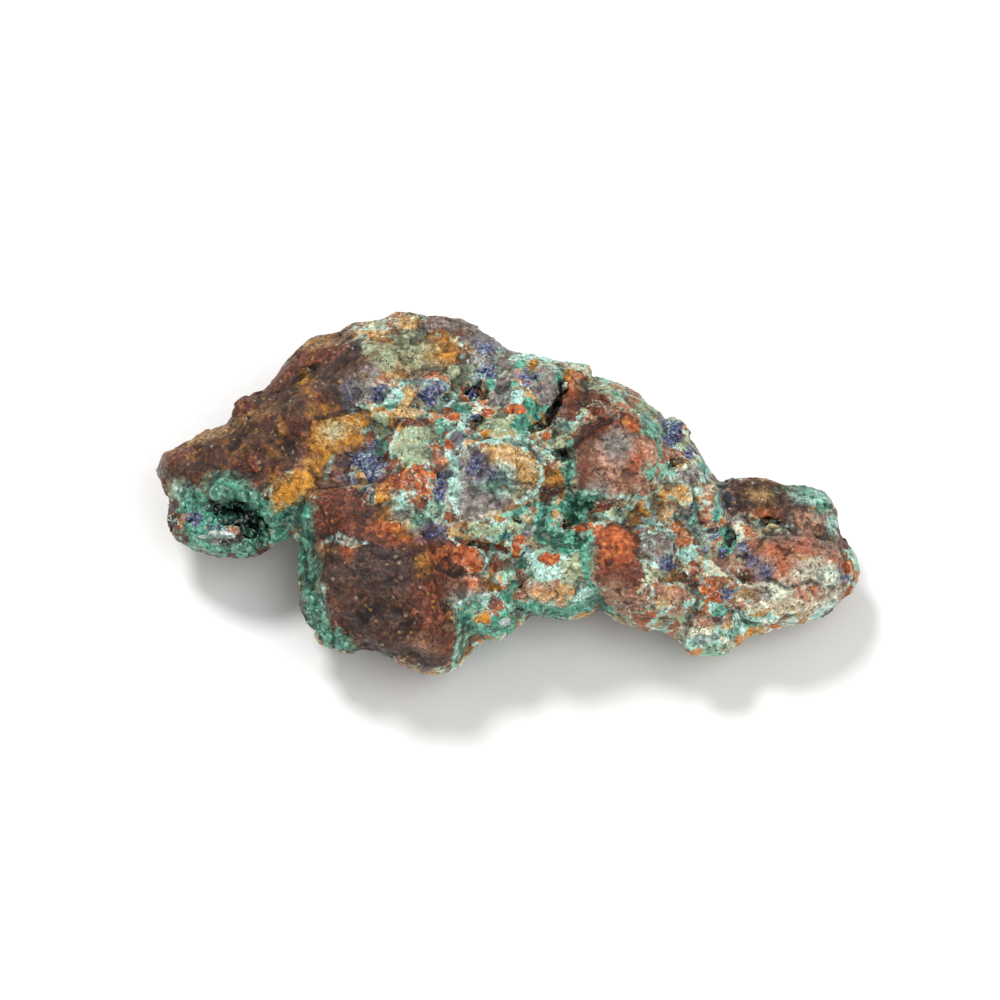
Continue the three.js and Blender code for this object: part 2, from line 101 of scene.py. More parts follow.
@dataclass(frozen=True)
class FaceFrame:
    """The stone's broad face, as the solids have it.

    Attributes:
        centre: (u, v, w) = (0, 0, 0), in millimetres.
        pitch: How far above level the face looks, in degrees.
        lean: How far the rim falls back for each millimetre up the face.
        droop: And for each square millimetre out from the middle.
    """

    centre: tuple[float, float, float] = (-1.05, -1.05, 12.8)
    pitch: float = 60.0
    lean: float = 0.3
    droop: float = 0.0012

    def axes(self) -> tuple[Vector, Vector, Vector]:
        """Returns the directions of u, v and w."""
        rise = math.radians(self.pitch)
        return (
            Vector((1.0, 0.0, 0.0)),
            Vector((0.0, math.sin(rise), math.cos(rise))),
            Vector((0.0, -math.cos(rise), math.sin(rise))),
        )

    def to_world(self, u: float, v: float, w: float) -> Vector:
        """Turns a place on the face into metres in the part's frame.

        Args:
            u: Millimetres to the right.
            v: Millimetres up the face.
            w: Millimetres out of the face.

        Returns:
            The place.
        """
        along, up, out = self.axes()
        return (Vector(self.centre) + along * u + up * v + out * w) * MM

    def from_world(self, places: np.ndarray) -> np.ndarray:
        """Turns places in metres into rows of u, v and w.

        Args:
            places: One place in a row.

        Returns:
            One row of u, v and w for each, in millimetres.
        """
        return (places / MM - np.array(self.centre)) @ np.array(self.axes()).T

    def height_over_middle(self, rows: np.ndarray) -> np.ndarray:
        """How far each place stands in front of the middle of the slab.

        Args:
            rows: Rows of u, v and w.

        Returns:
            Millimetres, less than 0 on the underside.
        """
        return rows[:, 2] + self.lean * rows[:, 1] + self.droop * rows[:, 0] ** 2


FACE = FaceFrame()

Spot = tuple[float, ...]
"""A form: u, v, half length, and then half width and turn in degrees where it isn't round. The tables
of other forms than patches say what their numbers are."""

PATCHES: dict[Mineral, tuple[Spot, ...]] = {
    Mineral.GOETHITE: (
        (-17, -9, 5.5, 4.2), (-20.5, -3, 2.8, 2), (-18, -16.4, 5, 2.6), (-9.8, -22.6, 1.8, 1.4),
        (-21.6, 21, 2.6, 1.8), (-14.6, -10.5, 3), (-23.6, -9.5, 2, 3), (-24, 17, 2.4, 2),
        (-16.5, -20.2, 3, 1), (40.6, -1.8, 3, 1.9), (11.6, 9, 1.2, 0.6, 30), (11.4, -2.4, 1, 0.8),
        (9.4, -3.4, 0.6, 0.5), (-3.7, 15.3, 1.5, 0.8), (-3.7, 11.3, 1, 0.8), (0.6, 15.4, 0.6, 0.8),
        (-7.6, 11.9, 1.4, 0.3), (-33.4, -6.8, 2.2, 0.8), (-21, 22.6, 1.4, 0.6), (-13.5, -8, 2.6, 2),
        (-26.3, -10.6, 0.7, 2), (-45.9, -3.6, 1, 3), (-37.6, -8, 5, 0.9), (-43, -6.6, 2, 0.9, -30),
        (-45, 3, 0.9, 0.7), (-12.5, 12.9, 2.2, 0.3, -5), (40.8, -2.2, 1.4, 1.2), (0.2, 22, 1.4, 0.4, -35),
        (34, -7.8, 0.8, 0.6), (34, -9.1, 0.6), (37.5, -5.8, 0.3), (39, -7.5, 0.35), (41, -9, 0.4),
        (-2.7, 14.6, 1.4, 0.4), (36.6, 1.8, 2.2, 0.6, -8), (33.6, 0, 1.2, 1.2), (38.6, 0.6, 1.6, 0.6, -6),
        (-12.6, -18.6, 2, 1.2), (-36.8, -5.4, 3, 1), (-43.6, -5.6, 2.2, 1), (-19.6, -5, 2.4, 1.6),
    ),
    Mineral.SIDERITE: (
        (-12, 15.2, 1.6, 0.9), (-16.8, 17.6, 1.2, 0.8), (31, -8.6, 1.4, 1), (16.5, 4, 3, 3), (20.5, 6.5, 2),
        (14.2, 12.9, 2.6, 0.9, 30), (23, -13.2, 3.8, 2.6), (17, -14, 4.6, 1.8), (14.6, -12.2, 3, 2),
        (28.7, -1.7, 1.5, 2.5), (31.5, -9, 2, 1.4), (41.5, -8.6, 6.2, 3.4), (41.5, -12.4, 6.4, 3.2, 12),
        (34, -14.8, 2.8, 2.4), (16.4, 4.6, 4.6, 4, 40), (43.4, -3.6, 2.4, 1.6), (-5, 19.4, 1.2, 1.2),
        (46.6, -7.2, 1.6, 1.2), (41, -9, 3.2, 1.8), (43, -3.2, 1.6, 1.5), (24, 6.8, 1.6, 0.9),
        (27.5, -17, 2, 0.8), (-10.6, -19.8, 1.4, 0.8), (-4.2, -12.2, 2.6, 1.6, -10), (6.2, -12.7, 3.6, 1.5),
        (-14.5, 25.3, 1.4, 0.6), (-26.6, 6.4, 1, 2, -30), (20.2, 1.8, 1.6, 1.4),
        (22.6, -14.8, 2.6, 1.2, -10), (37, -14.6, 4, 2.4), (43.5, -14, 3, 1.6), (34.6, -5.6, 1.2, 0.8),
        (3, -11, 1, 1.5), (-5.4, -2.3, 1.4, 0.5), (-24, 3.2, 2.6, 2),
    ),
    Mineral.JASPER: (
        (-34, 4, 3.4, 1.8), (-30, 18, 2.2, 1, 50), (-36, 12.6, 1.3, 2.1), (-25, 20.5, 3, 1.1, 10),
        (-22, -1.5, 4.2, 3.6), (-9.7, -13.5, 2.1, 3.6), (-22.2, -17.2, 2.4, 1, -50), (14.4, -7.6, 2.4, 4.2),
        (18, -9.6, 2, 2.2), (13, 13.6, 2.3, 1.8), (11.6, 4.2, 1.3, 2.6), (18, 3.2, 1.1, 0.9),
        (14.2, 10.4, 3.2, 0.8, 28), (14.6, -0.7, 1.2, 0.9), (-8.4, -18, 2, 3, 20),
        (8.4, 13.2, 1.2, 2.6, -30), (-15.6, 2.4, 1.8, 1.3), (7.6, 1.5, 1.4, 0.8), (-15.6, 5, 1.1, 1.2),
        (-5.6, 19.8, 1.6, 0.8), (9, 12.4, 1.5, 2, 40), (-39.6, -6.9, 1.1, 0.6), (-23, 3.6, 1.2, 0.8),
        (-26.3, 7.5, 1.1, 1.7, 20), (17.6, -5, 2, 1.4), (31.8, -4.3, 0.6, 0.4), (-12.5, 10.6, 2.6, 0.9),
        (-45.2, 6.3, 1.8, 0.9),
    ),
    Mineral.RUST: (
        (-14.5, -4.4, 3.5, 1.5), (-5.6, -7.8, 2.7, 1.4, -25), (-3.6, -9, 1, 1.5), (-9, -6.6, 0.6, 1.1),
        (-0.8, -9.1, 1.1, 0.9), (-3.4, -11.4, 0.6), (2.4, -6.4, 2.8, 0.85, 55), (5.5, -5.4, 0.9, 0.5),
        (0.4, -5.8, 0.5, 1.1), (11.6, -3.6, 1.3, 1.1), (6.8, -8, 1.7, 0.9), (-7.7, 7.4, 1.4, 1.2),
        (-12.8, 3, 3.8, 1.2, 8), (-10.8, 0.8, 1.1, 2), (-13.4, 18, 1.1), (-10.5, 17, 1.6, 0.5),
        (-6.6, 12, 0.8, 1), (-1.7, 13, 1, 1.4), (1.2, 19.8, 2.4, 0.6, 22), (4, 16.6, 1.1, 0.9),
        (2.2, 12.6, 1.4, 1), (0.7, 12.4, 0.5, 0.8), (10, 17, 1.3, 2), (6.3, 8.5, 0.6, 1.6),
        (7.4, 4.6, 0.7, 1), (18.3, 11, 1.1), (18.8, 5.6, 1, 1.5), (-4.4, -11.4, 0.6, 0.5),
        (15.8, -6.6, 2.4, 2.6), (13.4, -4.2, 0.8, 0.8), (27.4, -9.5, 1, 1.3), (29.2, -12.8, 1.5, 1.1),
        (30, -13.8, 0.8), (42.4, -6.2, 2.2, 0.9, -14), (38.5, -6.9, 1.6, 0.8, 10), (39, -9.3, 0.9, 1.1),
        (34.8, -6.2, 0.7, 0.5), (32.4, -11.6, 0.7, 1), (41, -13.2, 0.5, 0.4), (44.6, -15, 0.4, 0.3),
        (-13, 14.6, 1.2, 0.8), (-13.6, 17.6, 1.1, 0.8), (-6.8, 11.9, 0.9, 0.8), (-6, 14.1, 0.9, 0.4),
        (46.5, -8.6, 0.9), (48.8, -9, 0.8, 1.1), (43.2, -13, 0.9, 0.8), (37.3, -16.6, 1, 0.5),
        (40.8, -11.8, 0.9, 0.5), (28.7, 1.2, 0.7), (-25, -6.7, 0.8), (-20.9, -6.8, 0.7),
        (-4.1, -3.9, 1, 0.6), (6.8, -11.9, 1.1, 0.5), (36.8, -2.1, 1, 0.45), (-28.8, 0.6, 1.6, 0.8, 40),
        (-3, 7.6, 2.2, 0.35, 14), (22, -15.6, 1.6, 0.5),
    ),
    Mineral.OCHRE: (
        (-28.6, 1.4, 4.6, 2.1, 40), (-25.8, 4.6, 2.0, 1.4, 50), (-23.3, 8.5, 3.2, 2.8, 30),
        (-19.6, 10.9, 2.4, 1.2, 12), (-25, 5.5, 1.4, 1.2), (-18.7, 11.2, 1.4, 0.7), (-20.5, 11, 1.1),
        (-15.8, 11, 1.7, 1.9), (-15.5, -1.9, 1.1, 0.7), (-16, 0.8, 1.2), (-2.6, -16.5, 1.5, 0.9, -10),
        (-1, -12.3, 1.3, 1), (-20.6, 8.6, 1.2, 1.4), (-1.8, 9.4, 2, 0.6, 5), (7.2, 3.2, 1.5, 1.2),
        (-2.8, -4.7, 1, 0.7), (4.4, 3.5, 1.2, 1.2), (-1.6, -2.4, 3, 0.6), (2, -0.6, 1.2, 0.8),
        (0.3, 9.3, 1.3, 0.7), (5.4, 11.2, 0.9), (4.6, 18.8, 1.3, 0.6), (9.3, 17.5, 0.8, 1),
        (24.6, 2.6, 1, 0.8), (25, 0.4, 3.2, 1.2), (23.7, -10.9, 1.1, 0.8), (19.8, -2.4, 1.6, 1.3),
        (-8.6, 20.8, 2.8, 1.6), (-8.2, 22.4, 1.4, 0.7), (-15, 19, 1.4, 1), (-15, 17.5, 1.2, 0.8),
        (-10.6, -9.1, 0.6, 0.8), (-31.5, 2.8, 0.5, 0.8), (-12.8, -4, 1.3, 0.9), (35, -18.3, 1.3, 0.6),
        (-18, 23.2, 1.8, 0.8), (-27.3, 16.8, 0.8), (9.7, -12.6, 0.9, 1.2),
    ),
    Mineral.TAN: (
        (1.4, 5.9, 4, 2, -14), (3.8, 3.6, 1.7, 1.9), (-23.6, 8.8, 1.2, 1.2), (25.2, 0.4, 1.4, 0.4),
        (-39.6, 9.7, 2, 0.2, 22), (-12.5, 12, 3.2, 0.8, -5), (-12.5, 14.5, 2.2, 1), (-12.7, 25, 1.5, 0.9),
        (-25.4, 22.3, 1.8, 0.5, 10), (4.3, -3.2, 0.9, 1.2), (7, -13, 2.4, 1), (-17.8, 1.4, 0.5, 0.7),
        (36.7, 0.6, 1, 0.4), (-18.2, 23.6, 1.8, 0.5), (1.8, 6.4, 2.2, 1), (-14.8, 16.9, 1, 0.6),
        (25.4, 4, 1.2, 1.5), (34, -13.4, 1.2, 0.8), (8.6, -12.8, 1.4, 1), (22.6, -14.2, 1.8, 0.7),
        (39.6, -15.6, 3.6, 0.7, 8), (35, -16, 2, 0.8), (26, -18, 1.4, 0.9), (23, 1.8, 1.5, 0.9),
        (22.7, -1.8, 1.4, 1), (-12.6, 19.4, 1.4, 0.8),
    ),
    Mineral.SLATE: (
        (-4, 1.6, 3.8, 4.6), (-5, 6.4, 2.6, 1.2), (-2, 0.4, 4, 2.2), (6.8, 15.5, 1.5, 3),
        (16.4, 7.6, 2.2, 2.2), (13.8, 1.6, 1.4, 0.8), (22.4, -6.5, 2.6, 2.2), (-19.2, 15.6, 1.9, 2.3),
        (-18, 18, 1.2, 1), (-8, 24.8, 2.6, 0.8), (-3.4, 23.4, 1.8, 0.8, -30), (46, -6.2, 1.2, 0.6),
        (33, -2.6, 1.5, 0.5), (42.8, -9.8, 1.8, 1.2), (36.4, -9.4, 1.2, 0.9), (40.4, -4.9, 1.4, 0.5),
        (45.6, -13.8, 1, 0.7), (-3, 22.5, 2.2, 1.7), (26.8, 3.5, 1.4), (-5.2, -13.4, 1.2, 0.9),
        (-2.4, 19.6, 2, 1.1), (0.3, 14.2, 0.9, 1.6, -35), (1.8, 18.9, 1.6, 0.8), (5.2, 15.8, 1, 1.4),
        (26.2, -1.8, 1, 1.2), (-39, -4.7, 2.7, 0.8), (45.2, -2, 1.1, 0.6), (45.4, -6.2, 1.4, 0.5),
        (-48, 4.5, 0.7, 1.2), (4.1, -7.1, 0.4, 1.3, 55), (-21, 15, 0.8, 1.6), (2, 20.8, 2.6, 0.8, -20),
        (-0.4, 17.2, 1, 1), (7.4, 13, 1, 1.4),
    ),
    Mineral.SAGE: (
        (-12.7, 8.5, 1.7, 1.6), (-10.7, 8.4, 1.7, 1.7), (-12.6, 5.9, 1.6, 1.6), (-10.7, 6, 1.4, 1.4),
        (-11.7, 7.3, 2, 2), (-15.6, 19.8, 1.7, 1.8), (-12.2, 21.2, 2.6, 1.1), (-12.4, 22.6, 2, 0.9),
        (-12.4, 19, 1.6, 1), (-10.4, 18.8, 1.4, 0.8), (29, -19.2, 4, 1.8), (-2.5, -4.2, 2.6, 0.8),
        (0, 10.5, 3.2, 1.4), (10, -9.5, 2.7, 2.2), (20.5, 12.5, 1.1, 1.6), (-18.3, 21.3, 1, 0.8),
        (-16.6, 24.8, 1.2, 0.5), (-5.5, 17.5, 1.7, 1.5), (14.5, 15.2, 3.4, 0.7, -22),
        (36.2, -3.9, 1.8, 0.5), (-45.4, 1.6, 1.2, 1), (-22.9, 9.8, 1.2, 0.8), (-10, 9.2, 1.2, 1),
        (2, 1.4, 1.2, 0.9), (22, -10, 1.2, 0.8), (-16.8, 11.2, 0.7, 1), (31, -6.8, 1.6, 1.2),
    ),
    Mineral.MINT: (
        (0.6, 3, 1.1, 2), (-13.9, -0.4, 1.1, 1.1), (-15, 14.5, 1.6, 1.4), (-12.8, 16.2, 1.3, 0.6),
        (-7.5, 13.5, 1.7, 1.1), (2.4, 14.6, 1, 1), (11.8, -13.3, 1.5, 1), (12.6, -12.3, 0.9),
        (6.5, -9.6, 2, 0.65), (31.2, -18.7, 1.8, 0.9), (28.8, 3.8, 0.7, 1.4), (45.8, -10.6, 1.4),
        (38.6, -12.7, 1.6, 1.1), (0.6, -17, 1.4, 1), (44.2, 0.4, 2.2, 0.9, -6), (46.4, -3.4, 0.7, 1.1),
        (-3.4, 13.3, 1, 0.8), (9.3, 10.3, 1.1, 0.7), (-6.2, 4.5, 0.7, 1.3), (-6.3, 1.5, 0.8, 2),
        (35, -17, 3.6, 0.8, 14), (44.5, -15.5, 2.4, 0.6, 30), (-5, 11, 0.7, 1.5), (33, -16, 1.6, 1),
        (26, -7.8, 1.4, 0.8), (-44.3, 1, 1.2, 0.9), (4, 19.7, 2.4, 0.4, -5), (-2.2, -13.6, 1.6, 0.7),
        (-5.4, -14.6, 1, 0.8), (6.6, -10.8, 2.4, 0.6), (3.6, -8.4, 0.8, 1.6, -30), (-0.6, -10.6, 0.8, 0.8),
        (8.8, -7.6, 0.8, 1.2), (26.6, -14.6, 1.4, 0.8), (20.6, -3.2, 1.2, 0.6), (8.2, -15.4, 2, 0.5),
        (0.4, -12.8, 0.9, 0.8), (3.8, -14.6, 1.4, 0.4, -10), (27.6, -19.9, 2.6, 0.5), (30, -15.6, 1, 0.8),
    ),
    Mineral.MALACHITE: (
        (-38, 1.8, 2.7, 1.6), (-35.2, 0.3, 1.8, 1.3), (-33, -1.4, 1.4), (-31.3, -2.8, 1.9, 1.4),
        (-29.3, -2.6, 2.1, 1.5), (-27.2, -1.6, 1, 1.8), (-42.8, -0.3, 1.9, 1.7), (-41, -3.2, 3, 1.9),
        (-37.4, -6.8, 3.2, 0.5), (-42.6, -5.6, 2, 0.8, -25), (-38.6, -7.4, 3, 0.5), (-31, -5, 1.6, 1.2),
        (-27.4, -6.8, 1, 3.4, -12), (-26.4, -11, 0.8, 3.2, -8), (-26, -14.5, 1.2, 1.9),
        (-24.9, -17, 1, 1.8), (-22.8, -19.4, 2.4, 1.2, -30), (-4.9, -16.4, 1.1, 1.6),
        (-2.6, -18.1, 2.4, 0.7, -12), (0.7, -16.9, 1.7, 1.5), (-2.7, -14.9, 2.2, 0.6, -8),
        (1, -13.8, 1, 0.9), (4, -14.8, 2.6, 0.9, -10), (8, -15.6, 2.6, 0.9), (11, -15, 2, 1),
        (13.4, -13.6, 1, 1.2), (6.8, -3, 1.3, 2.1, 40), (10.4, -1.2, 2.4, 2), (9.3, -5.8, 2.2, 1.6),
        (11.8, -7.2, 1, 1.8), (3.6, -9.3, 1.2, 0.5), (-1.5, 2, 1.1, 0.5), (-16.4, 7.3, 1.1, 1.3),
        (-11.4, -3, 1.1, 0.9), (-5.3, 12.8, 0.8, 1), (-1.2, 16.4, 0.9, 1), (4.6, 12.7, 1.8, 1.2),
        (3.2, 10.2, 1.7, 1.4), (8.4, 17.2, 0.5, 1.3), (16.9, 14.5, 1.2, 0.4), (9.6, 3.8, 0.6, 2.1),
        (21, 10.2, 0.9, 2.2, 35), (21, 3.6, 0.7, 1), (26.7, -3.2, 1, 0.6), (30.7, -15.4, 0.8),
        (45.2, -0.8, 1, 0.8), (31.9, -5.5, 1.3, 2), (43.4, 1.3, 1.4, 0.3, -6), (15.2, -15.3, 1.6, 0.5),
        (-5.2, -20.6, 0.35, 2.4, -20), (28.8, 5, 0.6, 1.4), (2, -11.6, 0.9, 0.8), (3, 19.2, 1, 0.4),
        (1.4, 16.4, 0.9, 0.6), (30.2, -1.6, 0.5, 2.6), (-8, 10.5, 0.8, 1.4, 20), (12.4, 0.4, 1.6, 0.6),
        (0.8, -4.6, 0.8, 0.6), (5.2, -4.8, 0.5, 1.4, 55),
    ),
    Mineral.CALCITE: (
        (45.8, -11.4, 0.8, 1.2), (38.4, -12.8, 1.3, 0.9), (42.6, -10.6, 1.2, 0.6), (28.2, -19, 2.6, 0.7, 6),
        (31.4, -19.6, 1, 0.5), (40.4, -14.4, 2.4, 0.4, -10), (36, -14.6, 1.2, 0.4),
        (44, -15.4, 1.8, 0.3, 25), (46.6, -13, 0.8, 0.7), (-17.6, 13.4, 0.8, 0.5), (-17.6, 15.9, 0.6, 0.5),
        (-3.6, 13, 0.7, 0.6), (-17.9, 1.2, 0.35, 0.6), (-13.8, -2.2, 0.5, 0.35), (26.3, -1.3, 0.9, 0.7),
        (43.5, -8.6, 0.9, 0.5), (27.2, -18.2, 2.2, 0.6), (32.6, -14.6, 0.4, 1.2),
        (35.4, -17.4, 1.6, 0.3, -12),
    ),
    Mineral.AZURITE: (
        (-20.9, 14.6, 0.6, 1), (-1.8, 21.2, 1.5, 0.8, -20), (-42.8, -2.5, 1.5, 0.9), (-39.8, -4, 1.1, 0.5),
        (-3.3, 4.6, 1.2, 1.7), (-0.8, 3.5, 0.8, 0.6), (-8.3, 1.2, 0.8, 1.3), (-8, 3.6, 0.9, 0.5),
        (-18.6, 5.4, 2.8, 1.2, -10), (-17.8, 3.2, 1.2, 0.9), (-17.6, 6.6, 0.8, 1.3), (-9.5, -4.5, 1.6, 0.9),
        (-16.9, 15, 1, 1.3), (-9.3, 15, 2, 1.3, 40), (-1.7, 18, 1, 0.8), (4, 17.2, 1.6, 0.8),
        (5, 14.7, 0.5, 1.1), (24.2, 9.3, 1.7, 1.8), (23.2, 11, 0.9), (26.5, 6.6, 0.8, 1.1),
        (26.7, -1.2, 0.6), (28.6, -7, 0.8), (23.2, -9, 1.2, 0.8), (31.4, -13, 0.8), (30.6, -17, 0.8),
        (36.8, -10.2, 0.8), (48.6, -11, 0.6), (1.2, -4.8, 0.7), (3.6, -4.9, 0.5), (-1.5, 21, 1.5, 0.8),
        (-1.2, 18.8, 0.9, 0.7), (31.7, -0.2, 0.6, 1), (-3.6, 15.2, 0.9, 1), (33.8, -6.2, 0.8, 1.2),
        (35.2, -8.4, 0.7), (-20.8, 2.8, 1.1, 0.6), (29.8, -4.8, 0.6, 1.1),
    ),
}

Trail = tuple[tuple[float, float], ...]

SEAMS: dict[Mineral, tuple[tuple[float, Trail], ...]] = {
    Mineral.MINT: (
        (0.25, ((-24.5, -12), (-24.7, -14.5), (-24.3, -17))),
        (0.3, ((-5, 7.5), (-2, 8.1), (1, 8.3), (4, 7))),
        (0.3, ((3, 20.6), (5, 20.4), (7, 19.4))),
        (0.2, ((3.6, 8.6), (5.4, 6), (5.8, 2.8), (4.6, 0.6), (2.4, -0.2))),
        (0.35, ((-7, 6.6), (-6.6, 3.6), (-6.8, 0.4), (-6, -1.6))),
        (0.2, ((9, -1), (9.3, 0.3), (10.5, 0.8), (12, 0.4), (13, -0.6), (13, -1.8))),
        (0.25, ((-24.3, 3), (-23.8, 4.6), (-23.3, 6))),
        (0.25, ((-5.5, -18), (-6, -20.5), (-6.5, -23.5))),
        (0.3, ((26.9, 1), (27.2, -2), (27.8, -4.2), (30, -4.4), (30.6, -1.8), (30, 0.6))),
        (0.15, ((19.5, -8), (20.6, -10.5), (21, -13), (19.6, -14.8))),
        (0.12, ((22.6, -11.6), (25, -11.6), (26.6, -12.4), (27, -14.4), (25.8, -16.2))),
        (0.1, ((-24.8, -6.1), (-23, -5.3), (-22.3, -4.6), (-21.3, -5.3), (-19.5, -6), (-18.3, -5.9))),
        (0.1, ((-23.6, -4.9), (-22.6, -5.8), (-21.2, -5.9), (-20.2, -6.5))),
        (0.16, ((9.8, 1.6), (12, 0.9), (14.6, 0.6), (17.4, 0.4), (20, 0), (22.2, -3.6), (21, -5.4))),
    ),
    Mineral.MALACHITE: (
        (0.2, ((19.5, 12), (20.8, 10), (22, 8), (22.4, 5.6), (21.2, 3.4))),
        (0.3, ((10, 8.2), (9.2, 5.8), (9.4, 3), (9.8, 1.6))),
        (0.35, ((12.6, -4.4), (12.2, -7), (11.9, -10), (13, -12.8), (15.2, -15.3))),
        (0.3, ((-8.6, 9.4), (-7.8, 8.6), (-8, 5.6))),
        (0.3, ((-17.6, 12.8), (-16, 13), (-14.4, 13.2))),
        (0.35, ((0.6, -2.2), (3, -1.4), (5.2, -0.4), (8, -0.8))),
    ),
    Mineral.CALCITE: (
        (0.2, ((34, -12), (36.5, -11.6), (38.5, -12.4), (41, -14), (43.5, -14.6), (46, -13.8))),
        (0.2, ((33.4, -13.6), (35, -15.8), (38, -17.4), (41, -17))),
        (0.2, ((36.6, -13.4), (37, -15), (39.4, -15.6), (42.6, -15.2))),
        (0.2, ((41.6, -11.6), (42.6, -12.6), (43.6, -14.2), (45.2, -15))),
        (0.12, ((-7.6, -3.6), (-5.2, -2.6), (-2.4, -2.2), (0.2, -1.4))),
    ),
    Mineral.SIDERITE: (
        (0.4, ((-0.6, 19.2), (1.4, 20.2), (3.4, 21))),
    ),
    Mineral.SLATE: (
        (0.7, ((1.6, 17.4), (0, 15.4), (-1, 13.6))),
    ),
    Mineral.RUST: (
        (0.3, ((-5, 7), (-3, 7.4), (-1, 8))),
        (0.3, ((0.2, 19.2), (1.6, 19.4), (2.6, 19.9))),
    ),
}

CREVICES: tuple[tuple[float, float, Trail], ...] = (
    (0.5, 1.5, ((8.6, 16.3), (8.6, 15), (8, 13.5), (7, 12), (6.6, 11), (5.8, 10.4), (4.6, 9.9))),
    (0.4, 0.8, ((-5, 8.9), (-3, 8.7), (0, 8.6), (2, 8.1), (4, 7.6), (5.6, 5.4))),
    (0.4, 0.9, ((-6, -5.4), (-4.2, -6), (-1.8, -6.3), (0.8, -7.2))),
    (0.4, 0.4, ((11, 8.6), (12.6, 9.4), (14, 10.2), (15.6, 11), (17.3, 11.8))),
    (0.4, 0.9, ((-28, -6), (-27.2, -9), (-26.5, -12))),
    (0.4, 0.8, ((36.6, -3.1), (37.8, -2.9), (39.3, -3.4), (41, -4.2))),
    (0.35, 0.7, ((-29, 16.5), (-27.4, 17.8), (-25.5, 19))),
    (0.35, 0.7, ((-12.8, 12.9), (-15.4, 13), (-17.8, 12.2), (-20.4, 12.6), (-25.5, 11.2))),
    (0.35, 0.9, ((-7.4, 14.4), (-5.4, 14), (-3.4, 13.9), (-1.8, 14.3))),
    (0.35, 0.7, ((9.6, 1.2), (9.2, 4), (9.8, 6.6), (11, 8.6))),
    (0.3, 0.4, ((20.6, -6.4), (20.8, -9), (22.4, -11.4), (26, -11.2))),
    (0.3, 0.6, ((24, 5.6), (26.8, 2.4), (27.2, -1), (28, -4.6), (30.6, -4.2))),
    (0.3, 0.6, ((-8.4, -9.4), (-6, -10.4), (-2.2, -10.2), (-0.4, -7.4), (1.2, -3.6))),
    (0.3, 0.6, ((-26.4, 4), (-24.8, 2), (-20, 2.4), (-16.8, 2.6), (-12.8, 5))),
    (0.3, 0.6, ((35.4, -7), (37, -4.8), (40, -4.6), (44, -5), (46.6, -5.4))),
    (0.3, 0.5, ((37, -11), (39.6, -12.2), (43, -11.4), (46.8, -12.4))),
    (0.3, 0.6, ((2.6, -10.4), (3.4, -13.6), (6.4, -15), (10, -14.4), (11, -11.6))),
)
"""Crevices: half width, depth and route."""

PITS: tuple[Spot, ...] = (
    (-3.6, 15.1, 1.5, 0.9, 0, 1.6), (-3.7, 11.3, 1.1, 0.9, 0, 1.5), (8.6, 6.6, 1, 0.8, 0, 1.6),
    (2.2, -2.8, 1.1, 0.6, -20, 1.4), (-20, 21.2, 0.4, 0.3, 0, 0.8), (24.5, 5.2, 1.2, 0.4, 30, 1),
    (31.9, -5.6, 0.6, 1.4, 0, 1.8), (37.8, -2.9, 1.6, 0.4, 0, 1.3), (34, -7.6, 0.8, 0.5, 0, 1.2),
    (34, -9, 0.6, 0.5, 0, 1), (45.2, -0.8, 0.6, 0.5, 0, 0.8), (12.4, -1, 0.5, 0.9, 0, 1.4),
    (9.9, -3.2, 0.6, 0.5, 0, 1.2), (11, -5.4, 0.4, 0.8, 0, 1), (-8.2, 3.7, 0.7, 0.5, 0, 1),
    (31.7, -0.2, 0.6, 1, 0, 1), (0.6, 15.4, 0.6, 0.8, 0, 0.9), (-6.6, 9.8, 0.8, 0.5, 20, 0.8),
    (27.6, -5.6, 0.6, 0.4, 0, 0.8), (33.4, -11.2, 0.6, 0.4, 0, 0.8),
)
"""Pits: u, v, half length, half width, turn and depth."""

RISES: tuple[Spot, ...] = (
    (-28.6, 1.6, 4.6, 2.2, 40, 0.6), (-23.5, 8.6, 3.4, 2.9, 10, 0.6), (1.4, 5.7, 3.8, 2.2, -20, 0.6),
    (-4.6, 0.8, 3.2, 2.5, 10, 0.5), (-12.5, 12, 3.4, 0.9, -5, 0.7), (-12.5, 14.6, 2.4, 1.1, 0, 0.6),
    (6.8, 15.5, 1.4, 3, 0, 0.7), (10, 16.8, 1.3, 2.2, 0, 0.6), (2.4, 12.6, 1.6, 1.2, 0, 0.6),
    (3.8, 17.4, 2, 1.2, 0, 0.5), (23, -6.4, 2.7, 2, 0, 0.5), (25, 0.3, 2.8, 1.1, 0, 0.6),
    (25.2, 3.9, 1.2, 1.8, 0, 0.5), (28.8, -1.7, 1.4, 2.5, 0, 0.7), (23.3, -13.2, 2.9, 2, 0, 0.5),
    (29, -12.7, 1.6, 1.2, 0, 0.5), (38, -6.6, 1.8, 0.7, 0, 0.5), (41.6, -5.8, 2.8, 0.8, 0, 0.5),
    (41, -9.2, 2.8, 1.7, 0, 0.5), (46.5, -8.6, 1.1, 1.2, 0, 0.4), (-5.5, -7.8, 2.8, 1.4, -25, 0.5),
    (2.4, -6.4, 2.7, 0.7, 55, 0.6), (6.8, -3, 1.2, 2.1, 40, 0.6), (6.6, -12.8, 3.5, 1.6, 5, 0.5),
    (6.8, -8, 1.8, 1, 0, 0.5), (-14.4, -4.4, 3.4, 1.5, 0, 0.6), (-22, -1.6, 4, 3.2, 0, 0.5),
    (-16, 0.8, 1.2, 1.1, 0, 0.5), (-7.7, 7.4, 1.3, 1.2, 0, 0.4), (-9.3, 15, 2, 1.5, 40, 0.5),
    (-1, -17, 2, 1.5, 0, 0.5), (-36, 12.6, 1.2, 1.9, 0, 0.5), (-18.2, 17, 1.6, 2.2, 0, 0.5),
    (-24, 15.6, 2.6, 2.2, 0, 0.5), (-13.4, 19.6, 3, 1.8, 0, 0.4),
)
"""Rises: u, v, half length, half width, turn and height."""

